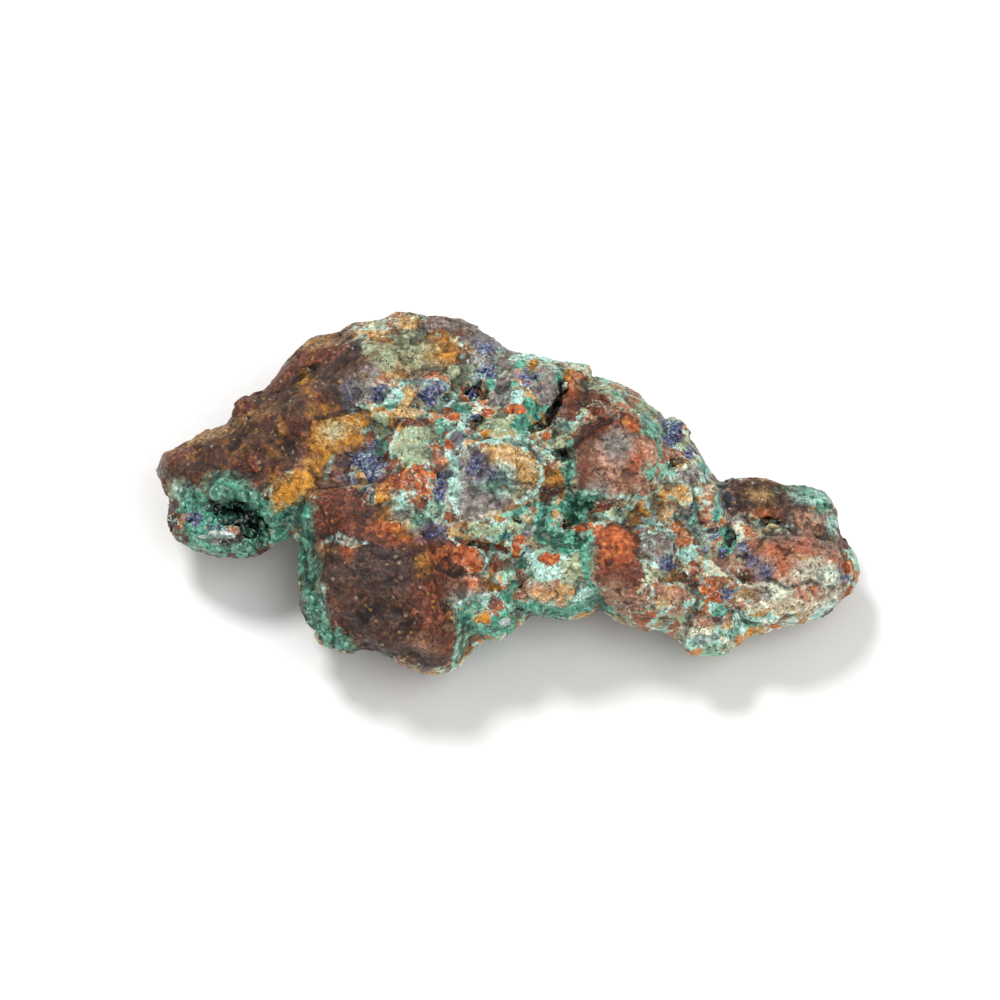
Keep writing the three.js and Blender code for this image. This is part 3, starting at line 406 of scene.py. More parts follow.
FLATS: tuple[Spot, ...] = (
    (-12, 7.2, 4.2, 4.6), (-1.5, 3.5, 6, 5), (-13.5, 20, 5.5, 3.6), (15.5, 5, 5, 5.5), (15.8, -8, 4, 5),
    (39.5, -11, 7, 4.5), (-29, 1.4, 4.5, 2.4, 40), (-23.4, 8.5, 3.6, 3), (24, -13, 4, 2.5),
    (24, -6.5, 3, 2.4),
)
"""The flattest parts of the face, given as patches are."""

PLAIN_GROUND: tuple[Spot, ...] = (
    (-36, 9, 16, 8, 28), (-17, -11, 12, 11), (-26, 15, 9, 6, 30), (15, 6, 7, 6, 45), (38, 0, 9, 3.4, -6),
    (16, -8.4, 4.4, 5), (41, -9.6, 8, 6), (-12.6, 20.4, 8, 3.4), (-24.6, 7, 5, 6, -40), (-1, 2.6, 6, 4.6),
    (24, -12, 3, 2.4), (-25, 21.5, 6, 2.6, 25), (-6, 24, 9, 1.8, -12), (46, -6, 3, 4),
    (-29, 1.4, 4.8, 2.2, 40), (-23, -1.8, 4.8, 3.6), (7.4, 3.2, 1.9, 2.4), (-15.4, 2.2, 2.2, 1.5),
    (-10, -19.4, 6, 4), (9.6, 13.6, 1.8, 4.4, -30), (6, -12.6, 3.6, 1.6), (-4.4, -12.4, 2.6, 1.8),
)
"""Where the ground is plain limonite rather than a mosaic."""

POCKETS: tuple[Spot, ...] = (
    (-37.1, -1.6, 3.2, 3.4, 2.4, 6.2), (-34.4, -3.8, 2.6, 2.4, 2.5, 5.6),
)
"""The hollow's pockets, as the solids have them: u, v, w, and half sizes along them."""

GREEN_LOBES: tuple[Spot, ...] = (
    (-38.9, -2.9, 2.4, 1.3, 0.9, 2.0), (-37.7, -2.4, 2.0, 1.1, 0.8, 2.0), (-40.3, -2.7, 3.2, 0.8, 0.9, 1.6),
    (-36.9, -5.4, 4.0, 0.9, 0.8, 1.6), (-35.5, -6.1, 3.8, 0.9, 0.7, 1.6), (-33.8, -5.9, 3.4, 0.9, 0.7, 1.6),
    (-32.6, -4.9, 3.4, 0.8, 0.9, 1.6), (-33.2, -3.4, 3.6, 0.6, 0.8, 1.6), (-38.5, 0.2, 4.4, 1.2, 0.9, 1.6),
    (-36.4, 0.6, 4.6, 0.7, 0.5, 1.6), (-34.5, -0.5, 4.6, 0.9, 0.6, 1.6), (-40.6, -0.9, 3.4, 0.6, 0.8, 1.4),
    (-37.4, -4.1, 3.8, 0.8, 0.6, 1.4), (-33.6, -1.6, 4.2, 0.7, 0.6, 1.6),
)
"""Green lobes in the hollow's mouth: u, v, w, and half sizes along them."""

BLACK_DOMES: tuple[Spot, ...] = (
    (-35.4, -2.3, 2.0, 0.75, 1.2, 1.6), (-39.6, -1.3, 2.8, 0.6, 0.5, 1.0),
    (-36.4, -3.9, 2.6, 0.5, 0.5, 1.2), (-36.2, -0.6, 3.2, 0.3, 0.35, 0.6),
    (-34.3, -4.4, 2.2, 0.6, 0.5, 1.0),
)
"""Glassy black domes in the hollow, given as the green lobes are."""

BEAD_TRAILS: tuple[tuple[float, float, float, float, Trail], ...] = (
    (
        1.15, 0.7, 0.9, 0.4,
        ((-39.6, 0.9), (-38.4, 1.5), (-37.4, 0.6), (-35.9, 0.9), (-34.8, 0.1), (-33.4, -0.9)),
    ),
    (0.8, 0.5, 0.8, 0.5, ((-33.2, -1.4), (-32, -2.6), (-31, -3.6), (-30, -3))),
    (0.6, 0.4, 0.9, 0.6, ((-30, -2.6), (-28.6, -2.2), (-27.6, -1.2))),
    (0.55, 0.35, 1.1, 0.3, ((-28.2, -4.4), (-27.4, -7), (-26.8, -9.6), (-26.3, -12.2))),
    (0.9, 0.45, 0.7, 0.5, ((-26.3, -12.6), (-26.2, -14.6), (-25.4, -16.6), (-24.4, -18.4))),
    (0.9, 0.5, 0.7, 0.5, ((-24.4, -18.4), (-22.6, -19.6), (-20.6, -20.2))),
    (0.7, 0.35, 0.8, 0.6, ((-4, -17.6), (-1.4, -17.6), (1, -16.8), (2.6, -15))),
    (0.6, 0.3, 1.2, 0.4, ((2.6, -15), (5.6, -15.6), (9, -15.9), (11.8, -15.2), (13.6, -13.6))),
    (0.7, 0.4, 0.6, 0.5, ((9.2, 0.4), (10.6, 0.9), (12.2, 0.4), (13, -1.4))),
    (0.45, 0.25, 1.3, 0.6, ((25.6, -19.2), (28, -20.2), (30.6, -19.8), (32.4, -18.4))),
    (0.5, 0.3, 1.1, 0.4, ((44, 0.6), (45.8, 0.2), (46.6, -1.4), (46.4, -3))),
    (0.5, 0.3, 1.1, 0.5, ((20.4, 11.4), (21.2, 9.4), (22.2, 7.4))),
    (0.5, 0.3, 1.1, 0.4, ((9.4, 1.8), (9, 4), (9.4, 6))),
)
"""Rows of green beads: the largest radius, the smallest, their spacing, how far they stray, the route."""

BEAD_FIELDS: tuple[Spot, ...] = (
    (-43.2, -0.4, 2.0, 1.6, 0.6, 9), (-42.4, -4.2, 2.2, 1.4, 0.55, 9), (-34.4, -6.4, 2.2, 0.9, 0.7, 9),
    (-37.6, -6.8, 1.6, 0.6, 0.7, 4), (10.6, -1.4, 1.7, 1.4, 0.7, 9), (9.6, -6.2, 1.8, 1.4, 0.5, 8),
    (-1.4, 16.2, 0.8, 0.9, 0.45, 4), (4.2, 11.4, 1.4, 1.8, 0.4, 6), (31.4, -18.4, 1.4, 0.9, 0.45, 5),
    (-1.2, 2.2, 1.1, 0.8, 0.35, 6), (-11.4, -2.8, 0.9, 0.8, 0.4, 5), (-5.2, 12.4, 0.5, 0.8, 0.3, 4),
)
"""Clusters of green beads: u, v, half length, half width, largest radius, and how many."""

AZURITE_FIELDS: tuple[Spot, ...] = (
    (-42.8, -2.5, 1.5, 0.8, 0.45, 7), (-39.9, -3.9, 1.0, 0.4, 0.4, 5), (-3.2, 4.6, 1.2, 1.6, 0.4, 9),
    (-0.8, 3.4, 0.7, 0.6, 0.35, 4), (-8.2, 1.2, 0.7, 1.2, 0.5, 8), (-8.0, 3.4, 0.7, 0.6, 0.4, 4),
    (-18.6, 5.4, 2.6, 1.2, 0.45, 14), (-17.9, 3.2, 1.0, 0.9, 0.45, 6), (-9.5, -4.5, 1.4, 0.8, 0.4, 6),
    (-16.9, 15, 0.9, 1.2, 0.4, 6), (-9.3, 14.6, 1.6, 1.2, 0.45, 9), (-2.4, 17.6, 1.2, 0.8, 0.5, 6),
    (4, 17.2, 1.5, 0.7, 0.45, 7), (24, 9.2, 1.3, 1.5, 0.36, 16), (26.2, 6.4, 0.7, 1.0, 0.45, 5),
    (23.2, -9, 1.1, 0.7, 0.35, 5), (31.5, -7.2, 1.2, 0.8, 0.5, 7), (36.8, -10.2, 0.7, 0.7, 0.35, 4),
    (34.6, -7.4, 0.7, 1.2, 0.35, 5), (1.2, -4.8, 0.7, 0.5, 0.35, 4), (31.2, -13.2, 0.8, 0.7, 0.35, 4),
    (48.2, -10.8, 0.6, 0.8, 0.35, 4), (-3.8, 14.6, 0.7, 0.9, 0.7, 7), (-3.6, 11.4, 0.6, 0.6, 0.5, 4),
)
"""Clusters of blue crystals, given as the clusters of beads are, with the longest half length."""

GLASS_LENSES: tuple[Spot, ...] = (
    (-39, -4.8, 2.2, 0.6, -6), (-41.4, -5.1, 1.3, 0.3, 4), (28, -19.3, 1.3, 0.7, 5),
    (0.6, -16.9, 1.0, 0.6, 10), (29.8, -19.0, 0.8, 0.5, 20), (-15.2, 14.4, 0.7, 0.5, 0),
    (-3.7, 16.9, 0.5, 0.9, 10),
)
"""Lenses of glassy silica: u, v, half length, half width and turn."""


def linear(tint: str) -> tuple[float, float, float, float]:
    """Turns an sRGB hex colour to the linear values that the shaders take.

    Args:
        tint: The colour, as "#rrggbb".

    Returns:
        Linear red, green, blue and an alpha of 1.
    """
    shares = [int(tint[i : i + 2], 16) / 255 for i in (1, 3, 5)]
    red, green, blue = (s / 12.92 if s <= 0.04045 else ((s + 0.055) / 1.055) ** 2.4 for s in shares)
    return (red, green, blue, 1.0)


def per_mm(size: float) -> float:
    """The scale of a pattern on Object coordinates, for a grain of this size in millimetres."""
    return 1.0 / (size * MM)


@dataclass
class Shader:
    """A new material and its nodes.

    Attributes:
        name: The material's name.
        material: The material.
        tree: Its tree.
        place: Object coordinates.
    """

    name: str
    material: bpy.types.Material = field(init=False)
    tree: bpy.types.NodeTree = field(init=False)
    place: Socket = field(init=False)

    def __post_init__(self) -> None:
        """Makes the material, with no node but its coordinates."""
        self.material = bpy.data.materials.new(self.name)
        self.material.use_nodes = True
        self.tree = self.material.node_tree
        self.tree.nodes.clear()
        self.place = self.add("TexCoord", out="Object")

    def add(
        self,
        kind: str,
        inputs: dict[int | str, object] | None = None,
        out: int | str = 0,
        stops: tuple[tuple[float, str], ...] = (),
        **settings: object,
    ) -> Socket | None:
        """Adds a node with its settings and links.

        Args:
            kind: The node's type, without the word that all of them begin with.
            inputs: Socket to a value, or to another node's output that is linked to it.
            out: The output that is wanted.
            stops: Places and hex colours, for a colour ramp.
            **settings: The node's own properties.

        Returns:
            That output, or None for a node that has none.
        """
        node = self.tree.nodes.new("ShaderNode" + kind)
        for name, value in settings.items():
            setattr(node, name, value)
        for socket, value in (inputs or {}).items():
            if isinstance(value, Socket):
                self.tree.links.new(value, node.inputs[socket])
            else:
                node.inputs[socket].default_value = value
        for number, (place, tint) in enumerate(stops):
            elements = node.color_ramp.elements
            element = elements[number] if number < len(elements) else elements.new(place)
            element.position = place
            element.color = linear(tint)
        return node.outputs[out] if len(node.outputs) else None


@dataclass(frozen=True)
class MineralFinish:
    """How one mineral looks on the stone.

    Attributes:
        tints: Its colours, from the darkest to the palest.
        roughness: Its roughness.
        ragged: How far its edges stray.
        rimmed: Whether a pale green rim has grown around it in the cemented parts.
        spread: How much of the stone's hidden sides it takes, from 0 to 1.
        blotch: The size of its patches there, in millimetres.
        grain: The size of its mottling, in millimetres, one of those in RockFinish.sizes.
    """

    tints: tuple[str, str, str]
    roughness: float
    ragged: float = 0.6
    rimmed: bool = False
    spread: float = 0.0
    blotch: float = 9.0
    grain: float = 0.9


# The minerals in the order in which they lie on the limonite, lowest first.
FINISHES: dict[Mineral, MineralFinish] = {
    # Goethite: nearly black, earthy to dull metallic.
    Mineral.GOETHITE: MineralFinish(("#130b09", "#3a241c", "#68493a"), 0.4, 0.8, False, 0.32, 9),
    # Limonite: brown earthy iron oxide, the ground that the rest lies on.
    Mineral.LIMONITE: MineralFinish(("#1a0b04", "#442614", "#764c31"), 0.5),
    # Siderite gone to brown clay: pinkish tan.
    Mineral.SIDERITE: MineralFinish(("#5c3a2b", "#9a6c54", "#cfaa90"), 0.55, 0.7, False, 0.2, 9),
    # Jasper: dense brick red.
    Mineral.JASPER: MineralFinish(("#290f08", "#5c2917", "#925438"), 0.48, 0.8, False, 0.2, 8),
    # Hematite powder in limonite: bright orange-red rust.
    Mineral.RUST: MineralFinish(("#6e2a10", "#a64e22", "#d58444"), 0.55, 0.4, True, 0.1, 5),
    # Ochre: yellow earthy limonite.
    Mineral.OCHRE: MineralFinish(("#7a4a10", "#b0741f", "#d4a042"), 0.6, 0.6, True, 0.1, 6),
    # Kaolin stained by iron: pale chalky tan.
    Mineral.TAN: MineralFinish(("#8a6434", "#b58d58", "#dabc8c"), 0.6, 0.6, True, 0.04, 6),
    # Chert: dense grey silica with a waxy sheen.
    Mineral.SLATE: MineralFinish(("#423c3a", "#766d67", "#a79d96"), 0.4, 0.6, True, 0.08, 8),
    # Clay stained by copper: dull sage green.
    Mineral.SAGE: MineralFinish(("#687156", "#959f7c", "#c3cbac"), 0.55, 0.6, False, 0.04, 7),
    # Chrysocolla and pale malachite: mint green enamel.
    Mineral.MINT: MineralFinish(("#6aa594", "#a0ccbd", "#dcebe2"), 0.4, 0.6, False, 0.06, 6),
    # Malachite: green, with a silky sheen.
    Mineral.MALACHITE: MineralFinish(("#1c5746", "#449077", "#86c6ae"), 0.35, 0.6, False, 0.2, 9),
    # Calcite: cream, in patches and threads.
    Mineral.CALCITE: MineralFinish(("#b0a988", "#d6d4ba", "#f0efe0"), 0.45, 0.9, False, 0.02, 5),
    # Azurite: deep blue and glassy, dusted with pale clay.
    Mineral.AZURITE: MineralFinish(("#14162c", "#434769", "#a8adc8"), 0.3, 1.1, False, 0.06, 5, 0.45),
}

# The cemented fragments' colours: browns, rusts, clays, grey silica and copper-stained clay.
CLAST_TINTS: tuple[tuple[float, str], ...] = (
    (0.0, "#8a5a38"), (0.14, "#b2683a"), (0.26, "#9a8e6c"), (0.4, "#c09660"), (0.52, "#a6ae88"),
    (0.64, "#96583a"), (0.76, "#8ab096"), (0.84, "#c27a3c"), (0.9, "#6c6a70"), (0.95, "#cfc8a6"),
)

CRACK = "#15100f"
"""The colour of fine cracks."""

SHADOW = "#0d0b0b"
# The colour of the painted shadow deep in a hollow.
"""The colour deep in a hollow."""


@dataclass(frozen=True)
class Veil:
    """A colour laid where a mottling rises past a level.

    Attributes:
        tint: A mineral, or a hex colour.
        size: The mottling's size, in millimetres.
        channel: Which of the three mottlings of that size.
        start: The level where the colour begins.
        end: The level where there is most of it.
        most: Its share there.
    """

    tint: Mineral | str
    size: float
    channel: int
    start: float
    end: float
    most: float


GRIT = 0.42
"""The size of the rock's grains in millimetres: real ones are finer, and too fine to show."""

BLOTCHES = (
    Veil(Mineral.JASPER, 4.6, 1, 0.5, 0.62, 0.6),
    Veil(Mineral.OCHRE, 2.8, 2, 0.54, 0.66, 0.42),
    Veil(Mineral.GOETHITE, 2.8, 0, 0.55, 0.67, 0.65),
)
"""What blotches the limonite everywhere."""

STAINS = (
    Veil(Mineral.MALACHITE, 1.6, 0, 0.62, 0.68, 0.5),
    Veil(Mineral.MINT, 0.9, 1, 0.7, 0.76, 0.45),
    Veil(Mineral.GOETHITE, 0.9, 2, 0.62, 0.68, 0.75),
    Veil(Mineral.RUST, 1.6, 1, 0.64, 0.7, 0.7),
)
"""What stains the cemented parts."""

PAINTED_GLINTS_AND_SPECKS = (
    Veil("#cdbf9c", GRIT, 1, 0.988, 0.992, 0.3),
    Veil("#1a1210", GRIT, 1, 0.045, 0.04, 0.6),
    Veil("#c8923a", GRIT, 2, 0.985, 0.99, 0.45),
)
# Painted glints, pale and golden, on single grains, and grains that are black.
"""Grains that glint or are black."""


@dataclass
class RockFinish:
    """The stone's finish: brown limonite, with a mosaic of cemented fragments, under mineral patches.

    Attributes:
        clast: The size of a cemented fragment, in millimetres.
        warp: How far the fragments' outlines stray, in millimetres, and the size of their bends.
        vein: The greatest half width of the veins between them, as a share of a fragment.
        veined: The levels between which a mottling widens the veins from nothing to that.
        seep: How far a vein's edge fades.
        cement: How strongly the veins cover the fragments, and how far the cemented parts' edges stray.
        ravel: The size of the mottling that ravels the patches' edges.
        edges: How abruptly a patch ends on plain ground, and where the stone is cemented.
        rim: How much sooner than its patch a rim begins.
        rimmed: The levels between which a mottling brings the rims out, and how strong they are.
        sizes: The sizes of the mottlings, in millimetres.
        ramp: Where a mottling shows a mineral's darkest, middle and palest colour.
        bumps: Size, channel, strength and depth in millimetres of the grain too fine for the mesh.
        ior: The rock's index of refraction.
        gloss: Its share of specular light.
        shader: The material and its nodes.
        mottles: Three mottlings of each size, each near a half, and three random numbers for each grain.
        breccia: How far the stone is cemented.
        sharp: How abruptly a patch ends.
        mint: The colour of the pale green cement.
    """

    clast: float = 3.0
    warp: tuple[float, float] = (1.3, 1.5)
    vein: float = 0.13
    veined: tuple[float, float] = (0.42, 0.62)
    seep: float = 0.03
    cement: tuple[float, float] = (0.85, 1.6)
    ravel: float = 0.9
    edges: tuple[float, float] = (1.5, 5.0)
    rim: float = 0.3
    rimmed: tuple[float, float, float] = (0.48, 0.56, 0.75)
    sizes: tuple[float, ...] = (0.45, 0.9, 1.6, 2.8, 4.6)
    ramp: tuple[float, float, float] = (0.25, 0.5, 0.75)
    bumps: tuple[tuple[float, int, float, float], ...] = ((0.9, 0, 0.75, 0.35), (0.45, 2, 0.8, 0.22))
    ior: float = 1.6
    gloss: float = 0.28
    shader: Shader = field(init=False)
    mottles: dict[float, list[Socket]] = field(default_factory=dict, init=False)
    breccia: Socket = field(init=False)
    sharp: Socket | float = field(init=False)
    mint: Socket = field(init=False)

    def material(self) -> bpy.types.Material:
        """Builds the stone's material."""
        self.shader = Shader("limonite_breccia")
        add = self.shader.add
        grains = add("TexVoronoi", {"Vector": self.shader.place, "Scale": per_mm(GRIT)}, "Color")
        patterns = {GRIT: grains}
        for size in self.sizes:
            inputs = {"Vector": self.shader.place, "Scale": per_mm(size), "Detail": 4.0, "Roughness": 0.58}
            patterns[size] = add("TexNoise", inputs, "Color")
        for size, pattern in patterns.items():
            self.mottles[size] = list(add("SeparateColor", {"Color": pattern}).node.outputs)
        self.sharp = self.edges[1]
        self.breccia = self.share_of("breccia", self.cement[1], number=1)
        self.sharp = add("MapRange", {0: self.breccia, 3: self.edges[0], 4: self.edges[1]})
        self.mint = self.tint_of(Mineral.MINT)
        colour = self.laid(self.tint_of(Mineral.LIMONITE), self.veiled(BLOTCHES))
        colour = self.laid(colour, [(self.breccia, self.mosaic())])
        roughness = FINISHES[Mineral.LIMONITE].roughness
        for number, (mineral, finish) in enumerate(FINISHES.items()):
            if mineral is Mineral.LIMONITE:
                continue
            share = self.share_of(mineral.value, finish.ragged, number)
            rim = [(self.rim_of(mineral, number), self.mint)] if finish.rimmed else []
            colour = self.laid(colour, [*rim, (share, self.tint_of(mineral))])
            roughness = add("Mix", {0: share, 2: roughness, 3: finish.roughness})
        colour = self.laid(colour, self.veiled(STAINS, self.breccia) + self.threads())
        # Grain tone, then painted shade in the hollows and painted highlights on the crests.
        colour = self.shaded(colour, grains.node.outputs["Distance"])
        # Painted shadow deep in the pits, the crevices and the hollow.
        deep = (self.share_of("hollow", ragged=0.5, number=2), linear(SHADOW))
        # Painted highlights: pale and golden glints on single grains; also black grains.
        colour = self.laid(colour, [*self.veiled(PAINTED_GLINTS_AND_SPECKS), deep])
        inputs = {
            "Base Color": colour,
            "Roughness": roughness,
            "Normal": self.relief(),
            "IOR": self.ior,
            "Specular IOR Level": self.gloss,
        }
        add("OutputMaterial", {"Surface": add("BsdfPrincipled", inputs)})
        return self.shader.material

    def share_of(self, name: str, ragged: float, number: int, sooner: float = 0.0) -> Socket:
        """How far a patch covers a place, with a ravelled edge.

        Args:
            name: The stone's attribute that holds the patch.
            ragged: How far the edge strays.
            number: Sets the patch's mottling apart from its neighbours'.
            sooner: How much sooner the patch begins.

        Returns:
            The share, from 0 to 1.
        """
        add = self.shader.add
        laid = add("Attribute", out="Fac", attribute_name=name)
        inputs = {0: self.mottles[self.ravel][number % 3], 1: ragged, 2: laid}
        strayed = add("Math", inputs, operation="MULTIPLY_ADD")
        past = add("Math", {0: strayed, 1: 0.5 + ragged / 2 - sooner}, operation="SUBTRACT")
        return add("Math", {0: past, 1: self.sharp, 2: 0.5}, operation="MULTIPLY_ADD", use_clamp=True)

    def tint_of(self, mineral: Mineral) -> Socket:
        """A mineral's own colour, mottled."""
        finish = FINISHES[mineral]
        mottle = self.mottles[finish.grain][list(Mineral).index(mineral) % 3]
        return self.shader.add("ValToRGB", {"Fac": mottle}, stops=tuple(zip(self.ramp, finish.tints)))

    def rim_of(self, mineral: Mineral, number: int) -> Socket:
        """The share of the thin broken rim around a mineral's patches, where the stone is cemented.

        Args:
            mineral: The mineral.
            number: Sets its mottling apart.

        Returns:
            The share.
        """
        share = self.share_of(mineral.value, FINISHES[mineral].ragged, number, self.rim)
        start, end, most = self.rimmed
        inputs = {0: self.mottles[1.6][number % 3], 1: start, 2: end, 4: most}
        for factor in (self.shader.add("MapRange", inputs), self.breccia):
            share = self.shader.add("Math", {0: share, 1: factor}, operation="MULTIPLY")
        return share

    def laid(self, colour: Socket, layers: list[Layer]) -> Socket:
        """Lays colours over one another.

        Args:
            colour: The lowest.
            layers: Each next one's share and colour.

        Returns:
            The colour that shows.
        """
        for share, tint in layers:
            colour = self.shader.add("Mix", {0: share, 6: colour, 7: tint}, 2, data_type="RGBA")
        return colour

    def veiled(self, veils: tuple[Veil, ...], where: Socket | None = None) -> list[Layer]:
        """Makes layers of veils.

        Args:
            veils: The veils.
            where: Limits them to a part of the stone.

        Returns:
            Their shares and colours.
        """
        layers = []
        for veil in veils:
            inputs = {0: self.mottles[veil.size][veil.channel], 1: veil.start, 2: veil.end, 4: veil.most}
            share = self.shader.add("MapRange", inputs)
            if where is not None:
                share = self.shader.add("Math", {0: share, 1: where}, operation="MULTIPLY")
            tint = linear(veil.tint) if isinstance(veil.tint, str) else self.tint_of(veil.tint)
            layers.append((share, tint))
        return layers

    def mosaic(self) -> Socket:
        """The cemented fragments, with thin pale green veins between some of them."""
        add = self.shader.add
        stray, bend = self.warp
        cloud = add("TexNoise", {"Vector": self.shader.place, "Scale": per_mm(bend), "Detail": 5.0}, "Color")
        shift = add("VectorMath", {0: cloud, 1: (stray * MM,) * 3}, operation="MULTIPLY")
        strayed = add("VectorMath", {0: self.shader.place, 1: shift})
        cells_at = {"Vector": strayed, "Scale": per_mm(self.clast)}
        kind = add("SeparateColor", {"Color": add("TexVoronoi", cells_at, "Color")})
        clasts = add("ValToRGB", {"Fac": kind}, stops=CLAST_TINTS)
        clasts.node.color_ramp.interpolation = "CONSTANT"
        walls = add("TexVoronoi", cells_at, "Distance", feature="DISTANCE_TO_EDGE")
        start, end = self.veined
        width = add("MapRange", {0: self.mottles[2.8][1], 1: start, 2: end, 4: self.vein})
        past = add("Math", {0: width, 1: walls}, operation="SUBTRACT")
        vein = add("MapRange", {0: past, 1: -self.seep, 2: self.seep, 4: self.cement[0]})
        return self.laid(clasts, [(vein, self.mint)])

    def threads(self) -> list[Layer]:
        """Winding pale green threads over the cemented parts, and fine dark cracks over all."""
        layers = []
        for tint, size, channel, middle, half, factors in (
            (self.mint, 2.8, 0, 0.48, 0.01, (0.6, self.breccia)),
            (linear(CRACK), 4.6, 2, 0.5, 0.005, (0.8,)),
            (linear(CRACK), 2.8, 2, 0.46, 0.006, (0.7,)),
        ):
            inputs = {0: self.mottles[size][channel], 1: middle, 2: half}
            share = self.shader.add("Math", inputs, operation="COMPARE")
            for factor in factors:
                share = self.shader.add("Math", {0: share, 1: factor}, operation="MULTIPLY")
            layers.append((share, tint))
        return layers

    def shaded(self, colour: Socket, from_heart: Socket) -> Socket:
        """Breaks the colour into grains, paints shade into its hollows and paints highlights on its crests.

        Args:
            colour: The colour so far.
            from_heart: How far each place is from its grain's heart.

        Returns:
            The colour.
        """
        sunk = self.shader.add("Attribute", out="Fac", attribute_name="cavity")
        for value, low, high, at_low, at_high in (
            (self.mottles[GRIT][0], 0.0, 1.0, 0.88, 1.12),
            (from_heart, 0.4, 0.8, 1.0, 0.85),
            (self.mottles[0.45][0], 0.32, 0.68, 0.7, 1.32),
            (self.mottles[1.6][1], 0.35, 0.65, 0.88, 1.14),
            # Painted shade where the skin is sunk, and a painted highlight where it stands proud.
            (sunk, 0.55, 0.95, 1.0, 0.36),
            (sunk, 0.5, 0.2, 1.0, 1.25),
        ):
            shade = self.shader.add("MapRange", {0: value, 1: low, 2: high, 3: at_low, 4: at_high})
            inputs = {0: 1.0, 6: colour, 7: shade}
            colour = self.shader.add("Mix", inputs, 2, data_type="RGBA", blend_type="MULTIPLY")
        return colour

    def relief(self) -> Socket:
        """The grain that is too fine for the mesh."""
        under = {}
        for size, channel, strength, depth in self.bumps:
            inputs = {"Height": self.mottles[size][channel], "Strength": strength, "Distance": depth * MM}
            under = {"Normal": self.shader.add("Bump", {**inputs, **under})}
        return under["Normal"]


def only(thing: bpy.types.Object) -> None:
    """Selects one object alone and makes it active."""
    bpy.ops.object.select_all(action="DESELECT")
    thing.select_set(True)
    bpy.context.view_layer.objects.active = thing


def merged_copy(source: bpy.types.Object, name: str) -> bpy.types.Object:
    """Copies a solid's mesh into a new piece, with its loose triangles joined.

    Args:
        source: The solid, which is left as it is.
        name: The piece's name.

    Returns:
        The piece.
    """
    piece = bpy.data.objects.new(name, source.data.copy())
    bpy.context.scene.collection.objects.link(piece)
    piece.data.materials.clear()
    only(piece)
    bpy.ops.object.mode_set(mode="EDIT")
    bpy.ops.mesh.select_all(action="SELECT")
    bpy.ops.mesh.remove_doubles(threshold=0.00001)
    bpy.ops.object.mode_set(mode="OBJECT")
    return piece


def apply_modifier(piece: bpy.types.Object, kind: str, **settings: object) -> None:
    """Adds a modifier to a piece and applies it.

    Args:
        piece: The piece.
        kind: The modifier's type.
        **settings: The modifier's own properties.
    """
    only(piece)
    modifier = piece.modifiers.new(kind.lower(), kind)
    for name, value in settings.items():
        setattr(modifier, name, value)
    bpy.ops.object.modifier_apply(modifier=modifier.name)


def select(piece: bpy.types.Object, mode: str, chosen: Sequence[bool]) -> None:
    """Selects a piece's corners or faces, and leaves the piece in edit mode.

    Args:
        piece: The piece.
        mode: VERT or FACE.
        chosen: Whether each one is selected.
    """
    only(piece)
    bpy.ops.object.mode_set(mode="EDIT")
    bpy.ops.mesh.select_mode(type=mode)
    bpy.ops.mesh.select_all(action="DESELECT")
    bpy.ops.object.mode_set(mode="OBJECT")
    parts = piece.data.vertices if mode == "VERT" else piece.data.polygons
    parts.foreach_set("select", chosen)
    bpy.ops.object.mode_set(mode="EDIT")


def roughen(
    piece: bpy.types.Object,
    pattern: Pattern,
    size: float,
    height: float,
    group: str = "",
    middle: float = 0.5,
) -> None:
    """Raises a piece by a pattern on Object coordinates.

    Args:
        piece: The piece.
        pattern: The pattern.
        size: Its size, in millimetres.
        height: How far its palest part stands over its darkest, in millimetres.
        group: The vertex group that weights it, if any.
        middle: The shade that stays where it is.
    """
    texture = bpy.data.textures.new(pattern.value, "CLOUDS" if pattern is Pattern.CLOUDS else "VORONOI")
    texture.noise_scale = size * MM
    if pattern is Pattern.CREASES:
        texture.weight_1, texture.weight_2 = -1.0, 1.0
    settings = {"texture": texture, "texture_coords": "LOCAL", "mid_level": middle, "vertex_group": group}
    apply_modifier(piece, "DISPLACE", strength=height * MM, **settings)


def thin(piece: bpy.types.Object, most: int) -> None:
    """Brings a piece under a number of triangles, where it is flattest.

    Args:
        piece: The piece.
        most: The number.
    """
    triangles = sum(len(p.vertices) - 2 for p in piece.data.polygons)
    if triangles > most:
        apply_modifier(piece, "DECIMATE", ratio=most / triangles)


def corners_of(piece: bpy.types.Object) -> tuple[np.ndarray, np.ndarray]:
    """Reads a mesh's corners and their normals.

    Args:
        piece: The piece.

    Returns:
        Places in metres and unit normals, one in a row.
    """
    mesh = piece.data
    places, normals = (np.empty(len(mesh.vertices) * 3, dtype=np.float32) for _ in range(2))
    mesh.vertices.foreach_get("co", places)
    mesh.vertex_normals.foreach_get("vector", normals)
    return places.reshape(-1, 3).astype(float), normals.reshape(-1, 3).astype(float)


def spot_share(rows: np.ndarray, spot: Spot, fade: float | np.ndarray) -> np.ndarray:
    """How far each place lies inside an oval patch.

    Args:
        rows: Rows of u, v and w.
        spot: The patch.
        fade: The width over which the patch fades, in millimetres.

    Returns:
        1 well inside the patch, a half at its edge, and 0 well outside.
    """
    u, v, half_u = spot[:3]
    half_v = spot[3] if len(spot) > 3 else half_u
    turn = math.radians(spot[4]) if len(spot) > 4 else 0.0
    du, dv = rows[:, 0] - u, rows[:, 1] - v
    along = (du * math.cos(turn) + dv * math.sin(turn)) / half_u
    across = (dv * math.cos(turn) - du * math.sin(turn)) / half_v
    beyond = (np.hypot(along, across) - 1.0) * min(half_u, half_v)
    return np.clip(0.5 - beyond / fade, 0.0, 1.0)


